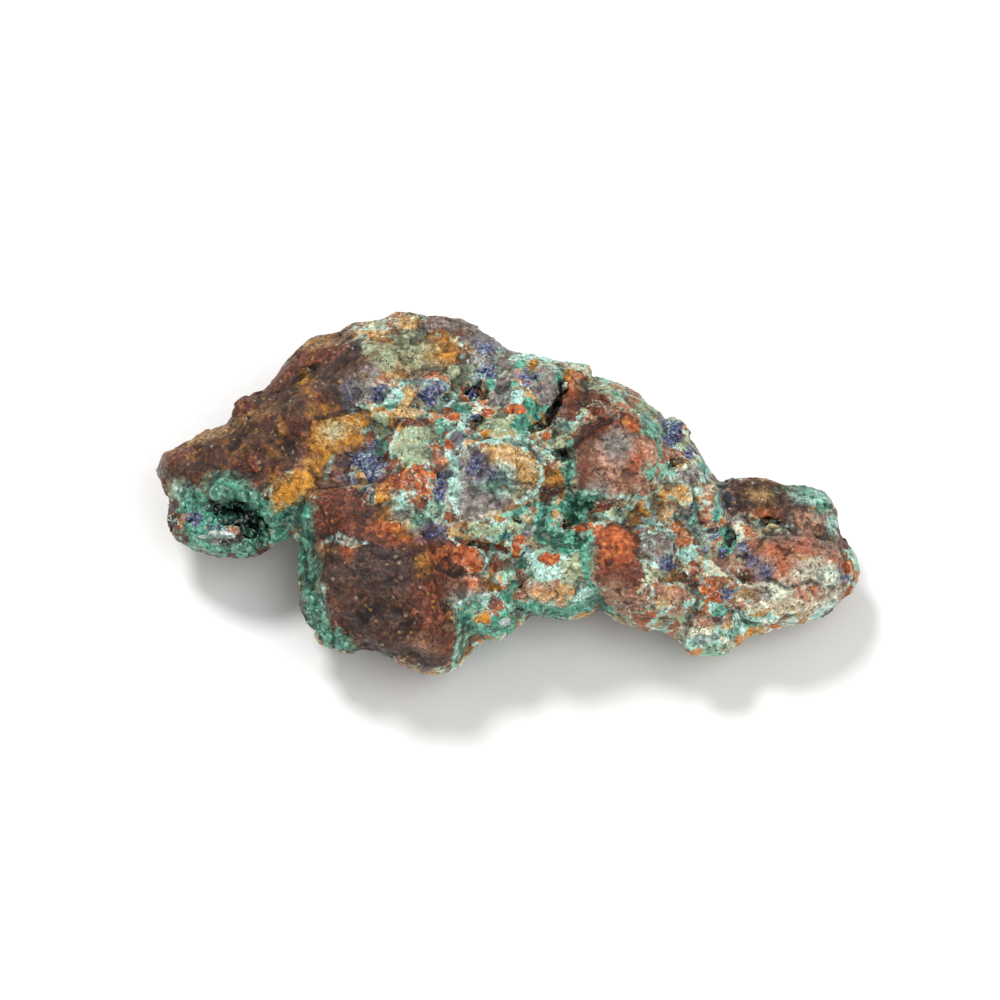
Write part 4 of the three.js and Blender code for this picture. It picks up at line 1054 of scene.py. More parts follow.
def trail_share(rows: np.ndarray, half: float, trail: Trail, fade: float) -> np.ndarray:
    """How far each place lies inside a strip along a route.

    Args:
        rows: Rows of u, v and w.
        half: The strip's half width.
        trail: Its route.
        fade: The width over which it fades.

    Returns:
        1 well inside the strip, a half at its edge, and 0 well outside.
    """
    nearest = np.full(len(rows), np.inf)
    for (u0, v0), (u1, v1) in zip(trail, trail[1:]):
        du, dv = u1 - u0, v1 - v0
        t = np.clip(((rows[:, 0] - u0) * du + (rows[:, 1] - v0) * dv) / (du * du + dv * dv), 0.0, 1.0)
        gap = np.hypot(rows[:, 0] - u0 - t * du, rows[:, 1] - v0 - t * dv)
        nearest = np.minimum(nearest, gap)
    return np.clip(0.5 - (nearest - half) / fade, 0.0, 1.0)


def greatest(shares: list[np.ndarray], rows: np.ndarray) -> np.ndarray:
    """The greatest of several shares at each place, or 0 where there are none."""
    return np.maximum.reduce([np.zeros(len(rows)), *shares])


def noise_at(places: np.ndarray, size: float, seed: float) -> np.ndarray:
    """Smooth noise at each place.

    Args:
        places: Places in metres.
        size: The noise's size, in millimetres.
        seed: Sets this noise apart from the others.

    Returns:
        Values from about -1 to 1.
    """
    shift = Vector((seed * 17.3, seed * -9.1, seed * 5.7))
    scale = per_mm(size)
    return np.array([noise.noise(Vector(p) * scale + shift) for p in places])


@dataclass
class Stone:
    """The stone's visible skin, raised from its solid.

    Attributes:
        voxel: The size of the remeshed facets, in millimetres.
        smoothing: Rounds of smoothing that wear the solid's facets away.
        regrowth: How far the skin then moves out again, in millimetres.
        rim: How far behind the slab's middle the face has ended, and over how much it fades.
        ledge: Share of their height by which the fragments are raised.
        press: Share of their depth by which the pits and crevices are pressed in.
        narrow: Share of their width that the crevices are cut to.
        block: The size of the small blocks that the rock has broken into, in millimetres.
        drawn: How far a place takes its block's height and mineral, from 0 to 1.
        step: How far the highest block stands over the lowest, in millimetres.
        run: The size over which the blocks rise and fall, in millimetres.
        reach: The farthest that a form is raised or pressed, in millimetres.
        levels: How many levels a vertex group's weights have.
        most_triangles: The most triangles that the finished skin has.
        grain: Patterns, sizes and heights of what is raised all over it, in millimetres.
        crags: The same, for the broader relief of the hidden sides.
        cavity_rounds: Rounds of smoothing that a corner is measured against to tell how far it is sunk.
        cavity_depth: How far it is sunk where its painted shade is darkest, in millimetres.
        lip: How high the hollow's walls are painted dark with shadow, in millimetres out of the face, and
            their fade below it.
        wear: Rounds of smoothing over the flattest fragments.
        foot: How high the skin is before its hidden crags reach their full height, in millimetres.
        sag: Share of their depth that is left to the parts below the resting face.
        fades: The width over which a patch fades on broken and on plain ground, in millimetres.
        crisp: The width over which a form or a seam fades.
        cut: The width over which a crevice fades.
        worn: The width over which the flattest parts fade.
        soft: The width over which the plain ground fades.
        calm: How far a patch on plain ground keeps its own outline, rather than its blocks', from 0 to 1.
        shade: Shares of their width to which the pits and the crevices are painted with shadow.
        gloom: How dark that painted shadow is for each millimetre of their depth.
        bare: The swell that a mineral needs before it shows on the hidden sides, and how abruptly it does.
        cemented: The size of the cemented areas there in millimetres, their share, and their sharpness.
    """

    voxel: float = 0.27
    smoothing: int = 34
    regrowth: float = 0.2
    rim: tuple[float, float] = (6.0, 4.0)
    ledge: float = 0.5
    press: float = 0.7
    narrow: float = 0.7
    block: float = 1.5
    drawn: float = 0.85
    step: float = 0.5
    run: float = 2.6
    reach: float = 2.0
    levels: int = 50
    most_triangles: int = 190_000
    grain: tuple[tuple[Pattern, float, float], ...] = (
        (Pattern.CLOUDS, 3.6, 0.45),
        (Pattern.CLOUDS, 1.5, 0.3),
        (Pattern.CLOUDS, 0.7, 0.22),
        (Pattern.CREASES, 2.6, 0.35),
    )
    crags: tuple[tuple[Pattern, float, float], ...] = (
        (Pattern.CLOUDS, 6.5, 2.0),
        (Pattern.CELLS, 4.4, -1.4),
    )
    cavity_rounds: tuple[int, ...] = (5, 30)
    cavity_depth: float = 0.34
    lip: tuple[float, float] = (4.4, 1.4)
    wear: int = 90
    foot: float = 4.0
    sag: float = 0.3
    fades: tuple[float, float] = (0.8, 3.0)
    crisp: float = 0.8
    cut: float = 0.5
    worn: float = 2.0
    soft: float = 4.0
    calm: float = 0.6
    shade: tuple[float, float] = (0.8, 0.6)
    gloom: tuple[float, float] = (0.7, 0.8)
    bare: tuple[float, float] = (0.55, 2.0)
    cemented: tuple[float, float, float] = (14.0, 0.1, 1.2)
    piece: bpy.types.Object = field(init=False)

    def build(self) -> bpy.types.Object:
        """Raises the skin from the solid and dresses it."""
        self.piece = merged_copy(bpy.data.objects["stone"], "stone_skin")
        apply_modifier(self.piece, "REMESH", mode="VOXEL", voxel_size=self.voxel * MM)
        apply_modifier(self.piece, "SMOOTH", factor=0.5, iterations=self.smoothing)
        apply_modifier(self.piece, "DISPLACE", strength=self.regrowth * MM, mid_level=0.0)
        self.wear_flat()
        self.raise_forms()
        self.raise_grain()
        self.settle()
        thin(self.piece, self.most_triangles)
        self.lay_minerals()
        self.lay_shadows()
        self.piece.data.shade_smooth()
        self.piece.data.materials.append(RockFinish().material())
        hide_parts("stone")
        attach(self.piece, "root")
        log.info("stone_skin: %d faces", len(self.piece.data.polygons))
        return self.piece

    def weights(self, name: str, values: np.ndarray) -> str:
        """Stores values as a vertex group.

        Args:
            name: The group's name.
            values: One weight for each corner, from 0 to 1.

        Returns:
            The group's name.
        """
        group = self.piece.vertex_groups.new(name=name)
        levels = np.round(values * self.levels).astype(int)
        for level in np.unique(levels):
            if level > 0:
                group.add(np.flatnonzero(levels == level).tolist(), float(level) / self.levels, "REPLACE")
        return name

    def ground(self) -> tuple[np.ndarray, np.ndarray, np.ndarray]:
        """Reads where the corners are.

        Returns:
            Their places in metres, their rows of u, v and w, and how far each belongs to the broad face.
        """
        places, _ = corners_of(self.piece)
        rows = FACE.from_world(places)
        behind, fade = self.rim
        return places, rows, np.clip((FACE.height_over_middle(rows) + behind) / fade, 0.0, 1.0)

    def broken(self, places: np.ndarray) -> np.ndarray:
        """Draws places towards the hearts of their blocks.

        Args:
            places: Places in metres.

        Returns:
            The places drawn, in metres.
        """
        scale = per_mm(self.block)
        hearts = np.array([noise.voronoi(Vector(p) * scale)[1][0] for p in places]) / scale
        return places + (hearts - places) * self.drawn

    def wear_flat(self) -> None:
        """Smooths the flattest fragments."""
        _, rows, face = self.ground()
        flat = greatest([spot_share(rows, spot, self.worn) for spot in FLATS], rows)
        group = self.weights("flats", flat * face)
        apply_modifier(self.piece, "SMOOTH", factor=0.5, iterations=self.wear, vertex_group=group)

    def raise_forms(self) -> None:
        """Raises the fragments and presses in the pits and crevices, each by a weighted Displace."""
        places, rows, face = self.ground()
        blocks = self.broken(places)
        strayed = FACE.from_world(blocks)
        up = self.step * np.clip(0.5 + noise_at(blocks, self.run, seed=50.0), 0.0, 1.0)
        for *spot, height in RISES:
            up += height * self.ledge * spot_share(strayed, spot, self.crisp)
        down = [depth * self.press * spot_share(strayed, spot, self.crisp) for *spot, depth in PITS]
        for half, depth, trail in CREVICES:
            down.append(depth * self.press * trail_share(rows, half * self.narrow, trail, self.cut))
        for name, amount, way in (("rises", up, 1.0), ("hollows", greatest(down, rows) * face, -1.0)):
            group = self.weights(name, np.clip(amount / self.reach, 0.0, 1.0))
            strength = way * self.reach * MM
            apply_modifier(self.piece, "DISPLACE", vertex_group=group, strength=strength, mid_level=0.0)

    def raise_grain(self) -> None:
        """Raises the noise of the rock and the creases between its cemented fragments."""
        places, _, face = self.ground()
        raised = np.clip(places[:, 2] / (self.foot * MM), 0.0, 1.0)
        hidden = self.weights("hidden", (1.0 - face) * raised)
        for group, patterns in ((hidden, self.crags), ("", self.grain)):
            for pattern, size, height in patterns:
                roughen(self.piece, pattern, size, height, group)

    def settle(self) -> None:
        """Presses whatever hangs below the resting face up towards it."""
        places, _ = corners_of(self.piece)
        select(self.piece, "VERT", places[:, 2] < 0.0)
        bpy.ops.transform.resize(value=(1.0, 1.0, self.sag), center_override=(0.0, 0.0, 0.0))
        bpy.ops.object.mode_set(mode="OBJECT")

    def lay_minerals(self) -> None:
        """Stores each mineral's share as an attribute, from its patches and seams or, hidden, by a rule."""
        places, rows, face = self.ground()
        blocks = self.broken(places)
        strayed = FACE.from_world(blocks)
        plain = greatest([spot_share(rows, spot, self.soft) for spot in PLAIN_GROUND], rows)
        strayed += (rows - strayed) * self.calm * plain[:, None]
        tight, wide = self.fades
        fade = tight + (wide - tight) * plain
        for number, mineral in enumerate(Mineral):
            if mineral is Mineral.LIMONITE:
                continue
            shares = [spot_share(strayed, spot, fade) for spot in PATCHES.get(mineral, ())]
            for half, trail in SEAMS.get(mineral, ()):
                shares.append(trail_share((rows + strayed) / 2, half, trail, self.crisp))
            finish = FINISHES[mineral]
            least, sharp = self.bare
            swell = noise_at(blocks, finish.blotch, seed=3.0 + number)
            hidden = np.clip(0.5 + (swell - least + finish.spread) * sharp, 0.0, 1.0)
            self.store(mineral.value, face * greatest(shares, rows) + (1.0 - face) * hidden)
        size, share, sharp = self.cemented
        behind = np.clip(share + noise_at(places, size, seed=40.0) * sharp, 0.0, 1.0)
        self.store("breccia", np.clip(face * (1.0 - plain) + (1.0 - face) * behind, 0.0, 1.0))
        # Painted shadow in the pits, the crevices and the hollow's walls, darker the deeper they are.
        deep = []
        for u, v, half_u, half_v, turn, depth in PITS:
            spot = (u, v, half_u * self.shade[0], half_v * self.shade[0], turn)
            deep.append(spot_share(strayed, spot, fade=0.9) * min(1.0, depth * self.gloom[0]))
        for half, depth, trail in CREVICES:
            share = trail_share(rows, half * self.shade[1], trail, self.crisp)
            deep.append(share * min(1.0, depth * self.gloom[1]))
        top, fade = self.lip
        below_lip = np.clip((top - rows[:, 2]) / fade, 0.0, 1.0)
        for u, v, _, half_u, half_v, _ in POCKETS:
            deep.append(below_lip * spot_share(rows, (u, v, half_u, half_v), self.cut))
        self.store("hollow", face * greatest(deep, rows))

    def lay_shadows(self) -> None:
        """Stores how far each corner lies below its surroundings, over about a millimetre and over three,
        for the painted shade in its hollows and the painted highlights on its crests.
        """
        mesh = self.piece.data
        edges = np.empty(len(mesh.edges) * 2, dtype=np.int32)
        mesh.edges.foreach_get("vertices", edges)
        ends = edges.reshape(-1, 2)
        places, normals = corners_of(self.piece)
        neighbours = np.bincount(edges, minlength=len(places))[:, None]
        worn = places.copy()
        sunk = np.zeros(len(places))
        for step in range(1, max(self.cavity_rounds) + 1):
            total = np.zeros_like(worn)
            for axis in range(3):
                total[:, axis] = np.bincount(ends[:, 0], worn[ends[:, 1], axis], len(worn))
                total[:, axis] += np.bincount(ends[:, 1], worn[ends[:, 0], axis], len(worn))
            worn = total / neighbours
            if step in self.cavity_rounds:
                sunk += np.einsum("ij,ij->i", worn - places, normals)
        self.store("cavity", np.clip(0.5 + sunk / (2 * self.cavity_depth * MM), 0.0, 1.0))

    def store(self, name: str, values: np.ndarray) -> None:
        """Stores one value for each corner as an attribute.

        Args:
            name: The attribute's name.
            values: The values.
        """
        attribute = self.piece.data.attributes.new(name, "FLOAT", "POINT")
        attribute.data.foreach_set("value", values.astype(np.float32))


@dataclass
class Face:
    """Finds places on the finished skin.

    Attributes:
        skin: The skin.
        start: Where the search starts, in millimetres out of the face.
        tree: The skin, made quick to search.
    """

    skin: bpy.types.Object
    start: float = 60.0
    tree: BVHTree = field(init=False)

    def __post_init__(self) -> None:
        """Makes the skin quick to search."""
        self.tree = BVHTree.FromObject(self.skin, bpy.context.evaluated_depsgraph_get())

    def at(self, u: float, v: float) -> tuple[Vector, Vector] | None:
        """Finds the skin at a place on the face.

        Args:
            u: Millimetres to the right.
            v: Millimetres up the face.

        Returns:
            The place in metres and the skin's normal, or None off the stone.
        """
        where, normal, _, _ = self.tree.ray_cast(FACE.to_world(u, v, self.start), -FACE.axes()[2])
        return (where, normal) if where else None


def standing(normal: Vector, spin: float) -> Matrix:
    """The turn that stands a piece along a direction.

    Args:
        normal: The direction that its +Z takes.
        spin: How far its +X is turned about that from the face's own right, in radians.

    Returns:
        The turn.
    """
    right = FACE.axes()[0]
    across = (right - normal * normal.dot(right)).normalized()
    turn = Matrix((across, normal.cross(across), normal)).transposed().to_4x4()
    return turn @ Matrix.Rotation(spin, 4, "Z")


def tilted(normal: Vector, lean: float, dice: random.Random) -> Vector:
    """A direction near the normal.

    Args:
        normal: The normal.
        lean: How far the direction leans from it along each axis, at most.
        dice: Chooses it.

    Returns:
        The direction.
    """
    return (normal + Vector([dice.uniform(-lean, lean) for _ in range(3)])).normalized()


def ball(name: str, subdivisions: int, cut: float) -> bpy.types.Object:
    """Models a ball, one millimetre in radius and flat underneath.

    Args:
        name: Its name.
        subdivisions: How fine it is.
        cut: How far below its middle it is cut, in millimetres.

    Returns:
        The ball.
    """
    bpy.ops.object.select_all(action="DESELECT")
    bpy.ops.mesh.primitive_ico_sphere_add(subdivisions=subdivisions, radius=MM)
    model = bpy.context.object
    model.name = name
    bpy.ops.object.mode_set(mode="EDIT")
    bpy.ops.mesh.select_all(action="SELECT")
    bpy.ops.mesh.bisect(plane_co=(0, 0, -cut * MM), plane_no=(0, 0, 1), use_fill=True, clear_inner=True)
    bpy.ops.object.mode_set(mode="OBJECT")
    return model


def prism(name: str, length: float, tip: float, taper: tuple[float, float, float]) -> bpy.types.Object:
    """Models a six-sided crystal, one millimetre in radius.

    Args:
        name: Its name.
        length: The length of its sides, in millimetres.
        tip: The length of its point.
        taper: How much narrower the point's end is.

    Returns:
        The crystal.
    """
    bpy.ops.object.select_all(action="DESELECT")
    bpy.ops.mesh.primitive_cylinder_add(vertices=6, radius=MM, depth=length * MM)
    model = bpy.context.object
    model.name = name
    select(model, "FACE", [polygon.normal.z > 0.9 for polygon in model.data.polygons])
    bpy.ops.mesh.extrude_region_move(TRANSFORM_OT_translate={"value": (0, 0, tip * MM)})
    bpy.ops.transform.resize(value=taper)
    bpy.ops.object.mode_set(mode="OBJECT")
    return model


def place_copy(model: bpy.types.Object, where: Vector, turn: Matrix, size: Vector) -> bpy.types.Object:
    """Copies a model with its own mesh, and puts the copy's place in its mesh.

    Args:
        model: The model, one millimetre in radius.
        where: The place, in metres.
        turn: The turn.
        size: How much it is drawn out along its own axes.

    Returns:
        The copy.
    """
    mesh = model.data.copy()
    mesh.transform(Matrix.Translation(where) @ turn @ Matrix.Diagonal((*size, 1.0)))
    copy = bpy.data.objects.new(model.name, mesh)
    bpy.context.scene.collection.objects.link(copy)
    return copy


def joined(
    model: bpy.types.Object, copies: list[bpy.types.Object], name: str, finish: CrustFinish
) -> bpy.types.Object:
    """Joins a model's copies into one piece that rides on the stone, and removes the model.

    Args:
        model: The model.
        copies: Its copies.
        name: The piece's name.
        finish: Its finish.

    Returns:
        The piece.
    """
    bpy.data.objects.remove(model)
    bpy.ops.object.select_all(action="DESELECT")
    for copy in copies:
        copy.select_set(True)
    piece = bpy.context.view_layer.objects.active = copies[0]
    bpy.ops.object.join()
    piece.name = name
    piece.data.materials.clear()
    piece.data.materials.append(finish.material())
    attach(piece, "root")
    log.info("%s: %d forms, %d faces", name, len(copies), len(piece.data.polygons))
    return piece


@dataclass(frozen=True)
class CrustFinish:
    """A crystalline mineral that stands on the stone in beads or crystals.

    Attributes:
        name: What it is.
        tints: Its colours, from the darkest to the palest.
        grain: The size of its mottling, in millimetres.
        roughness: Its roughness.
        ior: Its index of refraction.
        coat: How much clear polish its faces have.
        ramp: Where the mottling shows the darkest, the middle and the palest colour.
        bump: Strength of its fine unevenness, and its depth in millimetres.
    """

    name: str
    tints: tuple[str, str, str]
    grain: float
    roughness: float
    ior: float
    coat: float
    ramp: tuple[float, float, float] = (0.36, 0.5, 0.64)
    bump: tuple[float, float] = (0.35, 0.1)

    def material(self) -> bpy.types.Material:
        """Builds the material."""
        shader = Shader(self.name)
        inputs = {"Vector": shader.place, "Scale": per_mm(self.grain), "Detail": 5.0}
        cloud = shader.add("TexNoise", inputs, "Fac")
        colour = shader.add("ValToRGB", {"Fac": cloud}, stops=tuple(zip(self.ramp, self.tints)))
        inputs = {"Vector": shader.place, "Scale": per_mm(self.grain / 3), "Detail": 3.0}
        fine = shader.add("TexNoise", inputs, "Fac")
        strength, depth = self.bump
        inputs = {
            "Base Color": colour,
            "Roughness": self.roughness,
            "IOR": self.ior,
            "Coat Weight": self.coat,
            "Coat Roughness": 0.08,
            "Normal": shader.add("Bump", {"Height": fine, "Strength": strength, "Distance": depth * MM}),
        }
        shader.add("OutputMaterial", {"Surface": shader.add("BsdfPrincipled", inputs)})
        return shader.material


# Botryoidal malachite: silky green beads.
BEAD_FINISH = CrustFinish("botryoidal_malachite", ("#173f34", "#33725c", "#74aa92"), 1.2, 0.36, 1.7, 0.1)
# Azurite crystals: deep blue and glassy, with bright edges.
AZURITE_FINISH = CrustFinish("azurite_crystals", ("#0e1028", "#2c3466", "#7a84bc"), 0.7, 0.24, 1.75, 0.2)
# Malachite in the hollow's mouth: a darker copy of the beads' green, with the hollow's shade painted into
# it.
SHADED_LOBE_FINISH = CrustFinish("malachite_with_painted_shade", ("#0d231d", "#26503f", "#5c9c82"), 0.9, 0.32, 1.7, 0.2)
# Drusy malachite on black goethite: almost black, and glistening.
DRUSE_TINTS = ("#060808", "#10221c", "#285445")
DRUSE_FINISH = CrustFinish("drusy_goethite_and_malachite", DRUSE_TINTS, 0.8, 0.2, 1.75, 0.4)
# Goethite with a polished skin: black glassy domes.
DOME_FINISH = CrustFinish("glassy_goethite", ("#0a0a0c", "#1a1a1f", "#2e2d34"), 0.8, 0.14, 1.9, 0.5)
# Chalcedony: milky glassy silica.
GLASS_FINISH = CrustFinish("chalcedony", ("#586a64", "#889991", "#c8d1cc"), 0.9, 0.2, 1.54, 0.3)


@dataclass
class MalachiteBeads:
    """The rounded green beads of the crust.

    Attributes:
        face: Finds places on the skin.
        sunk: Share of its radius by which a bead's middle lies below the skin.
        least: Share of a cluster's largest radius that its smallest bead has.
        widths: Shares of its length that a bead's width keeps to.
        heights: Shares of its length that its height keeps to.
        seed: Sets the beads' sizes and places.
    """

    face: Face
    sunk: float = 0.12
    least: float = 0.5
    widths: tuple[float, float] = (0.75, 1.15)
    heights: tuple[float, float] = (0.6, 0.9)
    seed: int = 11

    def build(self) -> None:
        """Models one bead and copies it along the rows and over the clusters."""
        model = ball("bead", subdivisions=2, cut=0.6)
        bpy.ops.object.mode_set(mode="EDIT")
        bpy.ops.mesh.select_all(action="SELECT")
        bpy.ops.transform.resize(value=(1.0, 1.08, 0.88))
        bpy.ops.object.mode_set(mode="OBJECT")
        roughen(model, Pattern.CLOUDS, size=1.1, height=0.2)
        dice = random.Random(self.seed)
        copies = []
        for largest, smallest, spacing, stray, trail in BEAD_TRAILS:
            for u, v in along(trail, spacing):
                spot = (u + dice.uniform(-stray, stray), v + dice.uniform(-stray, stray))
                copies += self.copy_at(model, spot, dice.uniform(smallest, largest), dice)
        for *oval, largest, count in BEAD_FIELDS:
            for spot in strewn(dice, oval, count):
                copies += self.copy_at(model, spot, dice.uniform(self.least, 1.0) * largest, dice)
        joined(model, copies, "malachite_beads", BEAD_FINISH).data.shade_smooth()

    def copy_at(
        self, model: bpy.types.Object, spot: tuple[float, float], radius: float, dice: random.Random
    ) -> list[bpy.types.Object]:
        """Copies the bead to a place on the skin.

        Args:
            model: The bead.
            spot: Its u and v.
            radius: Its radius, in millimetres.
            dice: Turns and squashes it.

        Returns:
            The copy, or nothing where the place is off the stone.
        """
        found = self.face.at(*spot)
        if not found:
            return []
        where, normal = found
        turn = standing(normal, dice.uniform(0, math.tau))
        size = Vector((radius, radius * dice.uniform(*self.widths), radius * dice.uniform(*self.heights)))
        return [place_copy(model, where - normal * radius * self.sunk * MM, turn, size)]


@dataclass
class AzuriteCrystals:
    """The blue crystals that stand in clusters in the crust.

    Attributes:
        face: Finds places on the skin.
        lean: How far a crystal leans from the skin's normal.
        least: Share of a cluster's longest crystal that its shortest has.
        blade: A crystal's half width and half thickness, as shares of its half length.
        lift: Share of its half length by which its middle stands over the skin.
        seed: Sets the crystals' sizes and places.
    """

    face: Face
    lean: float = 0.7
    least: float = 0.5
    blade: tuple[float, float] = (0.62, 0.4)
    lift: float = 0.2
    seed: int = 23

    def build(self) -> None:
        """Models one blade-like crystal with a chisel point and copies it over the clusters."""
        model = prism("azurite_crystal", length=1.4, tip=0.4, taper=(0.35, 0.75, 1.0))
        apply_modifier(model, "BEVEL", width=0.08 * MM, segments=1, limit_method="ANGLE")
        dice = random.Random(self.seed)
        copies = []
        for *oval, longest, count in AZURITE_FIELDS:
            for spot in strewn(dice, oval, count):
                found = self.face.at(*spot)
                if not found:
                    continue
                where, normal = found
                turn = standing(tilted(normal, self.lean, dice), dice.uniform(0, math.tau))
                half = dice.uniform(self.least, 1.0) * longest
                size = Vector((*(half * share for share in self.blade), half))
                copies.append(place_copy(model, where + normal * half * self.lift * MM, turn, size))
        joined(model, copies, "azurite_crystals", AZURITE_FINISH)


@dataclass
class HollowLining:
    """The dark glistening lining of the hollow, with the crystals and domes that stand in it.

    Attributes:
        voxel: The size of its remeshed facets, in millimetres.
        swell: The size and height of its broad unevenness, in millimetres.
        druse: The size and height of the small crystals that cover it, in millimetres.
        most_triangles: The most triangles that the lining has.
        tries: How many times a crystal is stood on a wall, if there is a wall.
        steep: The least share of the way to it that points into the stone.
        lean: How far it leans from the wall's normal.
        radii: The least and greatest radius, in millimetres.
        lengths: The least and greatest half length, in radii.
        seed: Sets the crystals' places.
        piece: The lining.
    """

    voxel: float = 0.16
    swell: tuple[float, float] = (2.4, 1.6)
    druse: tuple[float, float] = (0.8, 0.5)
    most_triangles: int = 40_000
    tries: int = 70
    steep: float = 0.1
    lean: float = 0.4
    radii: tuple[float, float] = (0.16, 0.34)
    lengths: tuple[float, float] = (1.2, 2.0)
    seed: int = 5
    piece: bpy.types.Object = field(init=False)

    def build(self) -> None:
        """Builds the lining and what stands in it."""
        self.lining()
        self.crystals()
        self.lumps("hollow_lobes", GREEN_LOBES, SHADED_LOBE_FINISH, swell=0.7)
        self.lumps("hollow_domes", BLACK_DOMES, DOME_FINISH, swell=0.15)

    def lining(self) -> None:
        """Raises small crystals all over the solid crust."""
        self.piece = merged_copy(bpy.data.objects["hollow_crust"], "hollow_lining")
        apply_modifier(self.piece, "REMESH", mode="VOXEL", voxel_size=self.voxel * MM)
        apply_modifier(self.piece, "SMOOTH", factor=0.5, iterations=4)
        roughen(self.piece, Pattern.CLOUDS, *self.swell)
        roughen(self.piece, Pattern.CREASES, *self.druse, middle=0.75)
        thin(self.piece, self.most_triangles)
        self.piece.data.materials.append(DRUSE_FINISH.material())
        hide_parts("hollow_crust")
        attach(self.piece, "root")
        log.info("hollow_lining: %d faces", len(self.piece.data.polygons))

    def on_wall(self, inside: BVHTree, dice: random.Random) -> tuple[Vector, Vector] | None:
        """Finds a place on the hollow's wall, seen from the middle of one of its pockets.

        Args:
            inside: The lining.
            dice: Chooses the pocket and the direction.

        Returns:
            The place and the wall's normal, or None where there is no wall.
        """
        u, v, w, *_ = dice.choice(POCKETS)
        right, up, out = FACE.axes()
        spin, depth = dice.uniform(0, math.tau), dice.uniform(self.steep, 1.0)
        flat = math.sqrt(1 - depth * depth)
        way = right * (flat * math.cos(spin)) + up * (flat * math.sin(spin)) - out * depth
        where, normal, _, _ = inside.ray_cast(FACE.to_world(u, v, w), way)
        return (where, normal) if where else None

    def crystals(self) -> None:
        """Stands pointed crystals on the walls."""
        model = prism("crystal", length=2.0, tip=0.9, taper=(0.12, 0.12, 1.0))
        inside = BVHTree.FromObject(self.piece, bpy.context.evaluated_depsgraph_get())
        dice = random.Random(self.seed)
        copies = []
        for _ in range(self.tries):
            found = self.on_wall(inside, dice)
            if not found:
                continue
            where, normal = found
            way = tilted(normal, self.lean, dice)
            radius = dice.uniform(*self.radii)
            size = Vector((radius, radius, radius * dice.uniform(*self.lengths)))
            copies.append(place_copy(model, where, standing(way, dice.uniform(0, math.tau)), size))
        joined(model, copies, "hollow_crystals", BEAD_FINISH)

    def lumps(self, name: str, forms: tuple[Spot, ...], finish: CrustFinish, swell: float) -> None:
        """Sets rounded lumps in the hollow, each uneven in its own way.

        Args:
            name: The piece's name.
            forms: Each lump's u, v, w and half sizes along them.
            finish: Their finish.
            swell: How uneven they are, in millimetres.
        """
        model = ball("lump", subdivisions=4, cut=0.8)
        turn = Matrix(FACE.axes()).transposed().to_4x4()
        copies = [place_copy(model, FACE.to_world(*form[:3]), turn, Vector(form[3:])) for form in forms]
        piece = joined(model, copies, name, finish)
        roughen(piece, Pattern.CLOUDS, size=0.9, height=swell)
        piece.data.shade_smooth()


@dataclass
class GlassLenses:
    """Lenses of milky glassy silica in the crust.

    Attributes:
        face: Finds places on the skin.
        thickness: Half a lens's thickness, in millimetres.
    """

    face: Face
    thickness: float = 0.45

    def build(self) -> None:
        """Models one lens, uneven as broken silica is, and copies it to each place."""
        model = ball("lens", subdivisions=4, cut=0.7)
        roughen(model, Pattern.CLOUDS, size=0.8, height=0.5)
        copies = []
        for u, v, half_u, half_v, turn in GLASS_LENSES:
            found = self.face.at(u, v)
            if found:
                where, normal = found
                size = Vector((half_u, half_v, self.thickness))
                copies.append(place_copy(model, where, standing(normal, math.radians(turn)), size))
        joined(model, copies, "chalcedony_lenses", GLASS_FINISH).data.shade_smooth()


def along(trail: Trail, spacing: float) -> list[tuple[float, float]]:
    """Steps along a route.

    Args:
        trail: The route.
        spacing: The length of a step.

    Returns:
        The u and v of each step.
    """
    steps = []
    for (u0, v0), (u1, v1) in zip(trail, trail[1:]):
        count = max(1, round(math.hypot(u1 - u0, v1 - v0) / spacing))
        steps += [(u0 + (u1 - u0) * k / count, v0 + (v1 - v0) * k / count) for k in range(count)]
    return steps


def strewn(dice: random.Random, oval: list[float], count: int) -> list[tuple[float, float]]:
    """Strews places over an oval.

    Args:
        dice: Chooses them.
        oval: Its u, v, half length and half width.
        count: How many.

    Returns:
        The u and v of each place.
    """
    u, v, half_u, half_v = oval
    places = []
    for _ in range(count):
        spin, out = dice.uniform(0, math.tau), math.sqrt(dice.random())
        places.append((u + half_u * out * math.cos(spin), v + half_v * out * math.sin(spin)))
    return places


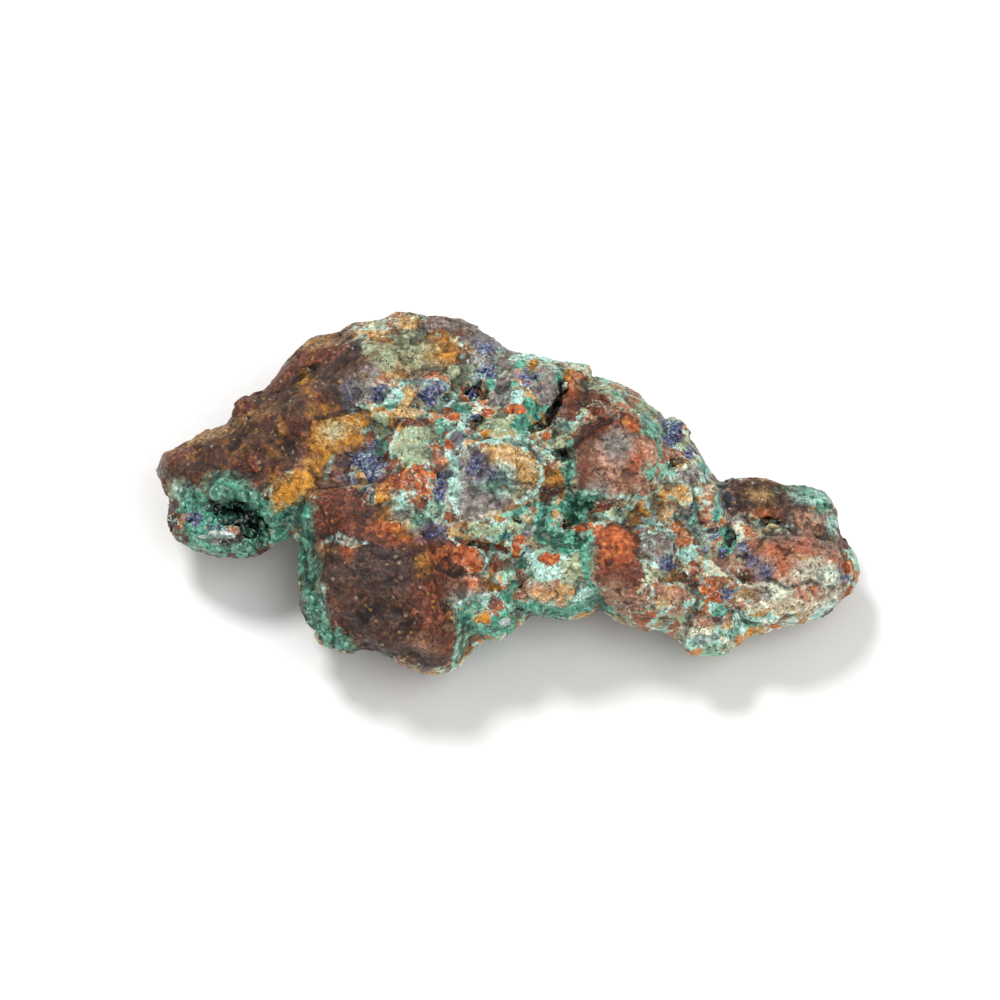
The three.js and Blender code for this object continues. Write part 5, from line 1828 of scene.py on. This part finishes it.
@dataclass
class Studio:
    """The floor, the light and the camera.

    Attributes:
        distance: From the camera to the stone, in millimetres.
        view_width: The width that the camera takes in at the stone, in millimetres.
        sensor: The width of the camera's sensor, in millimetres.
        room: The strength of the even light from all around.
        lamps: Each lamp's name, place in millimetres, size in metres, and power in watts.
        aim: Where the lamps point, in millimetres.
    """

    distance: float = 1100.0
    view_width: float = 140.0
    sensor: float = 36.0
    room: float = 0.5
    lamps: tuple[tuple[str, tuple[float, float, float], float, float], ...] = (
        ("key", (-330, 330, 980), 0.3, 7.0),
        ("fill", (420, -420, 860), 0.9, 5.0),
    )
    aim: tuple[float, float, float] = (0.0, 0.0, 10.0)

    def build(self) -> None:
        """Sets the stage."""
        self.floor()
        self.light()
        self.camera()

    def floor(self) -> None:
        """Lays a plain white floor."""
        bpy.ops.object.select_all(action="DESELECT")
        bpy.ops.mesh.primitive_plane_add(size=4.0)
        floor = bpy.context.object
        floor.name = "floor"
        # White paper: matt, and a little warm.
        paper = bpy.data.materials.new("white_paper")
        paper.use_nodes = True
        surface = paper.node_tree.nodes["Principled BSDF"].inputs
        surface["Base Color"].default_value = linear("#f4f3f2")
        surface["Roughness"].default_value = 0.9
        floor.data.materials.append(paper)

    def light(self) -> None:
        """Hangs a large soft light above the stone's upper left, and fills the rest evenly."""
        world = bpy.data.worlds.new("even_room")
        world.use_nodes = True
        room = world.node_tree.nodes["Background"].inputs
        room["Color"].default_value = (1.0, 1.0, 1.0, 1.0)
        room["Strength"].default_value = self.room
        bpy.context.scene.world = world
        for name, where, size, power in self.lamps:
            lamp = bpy.data.lights.new(name, "AREA")
            lamp.shape = "DISK"
            lamp.size = size
            lamp.energy = power
            hung = bpy.data.objects.new(name, lamp)
            bpy.context.scene.collection.objects.link(hung)
            hung.location = Vector(where) * MM
            way = Vector(self.aim) * MM - hung.location
            hung.rotation_euler = way.to_track_quat("-Z", "Y").to_euler()

    def camera(self) -> None:
        """Sets the camera square to the broad face."""
        lens = bpy.data.cameras.new("camera")
        lens.sensor_width = self.sensor
        lens.lens = self.sensor * self.distance / self.view_width
        lens.clip_end = 10.0
        viewer = bpy.data.objects.new("camera", lens)
        bpy.context.scene.collection.objects.link(viewer)
        turn = Matrix(FACE.axes()).transposed().to_4x4()
        viewer.matrix_world = Matrix.Translation(FACE.to_world(0, 0, self.distance)) @ turn
        bpy.context.scene.camera = viewer
        bpy.context.scene.view_settings.view_transform = "Standard"


def main() -> None:
    """Builds the specimen around its solids, in order."""
    logging.basicConfig(level=logging.INFO, format="%(name)s: %(message)s")
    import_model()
    Studio().build()
    face = Face(Stone().build())
    HollowLining().build()
    MalachiteBeads(face).build()
    AzuriteCrystals(face).build()
    GlassLenses(face).build()


if __name__ == "__main__":
    main()
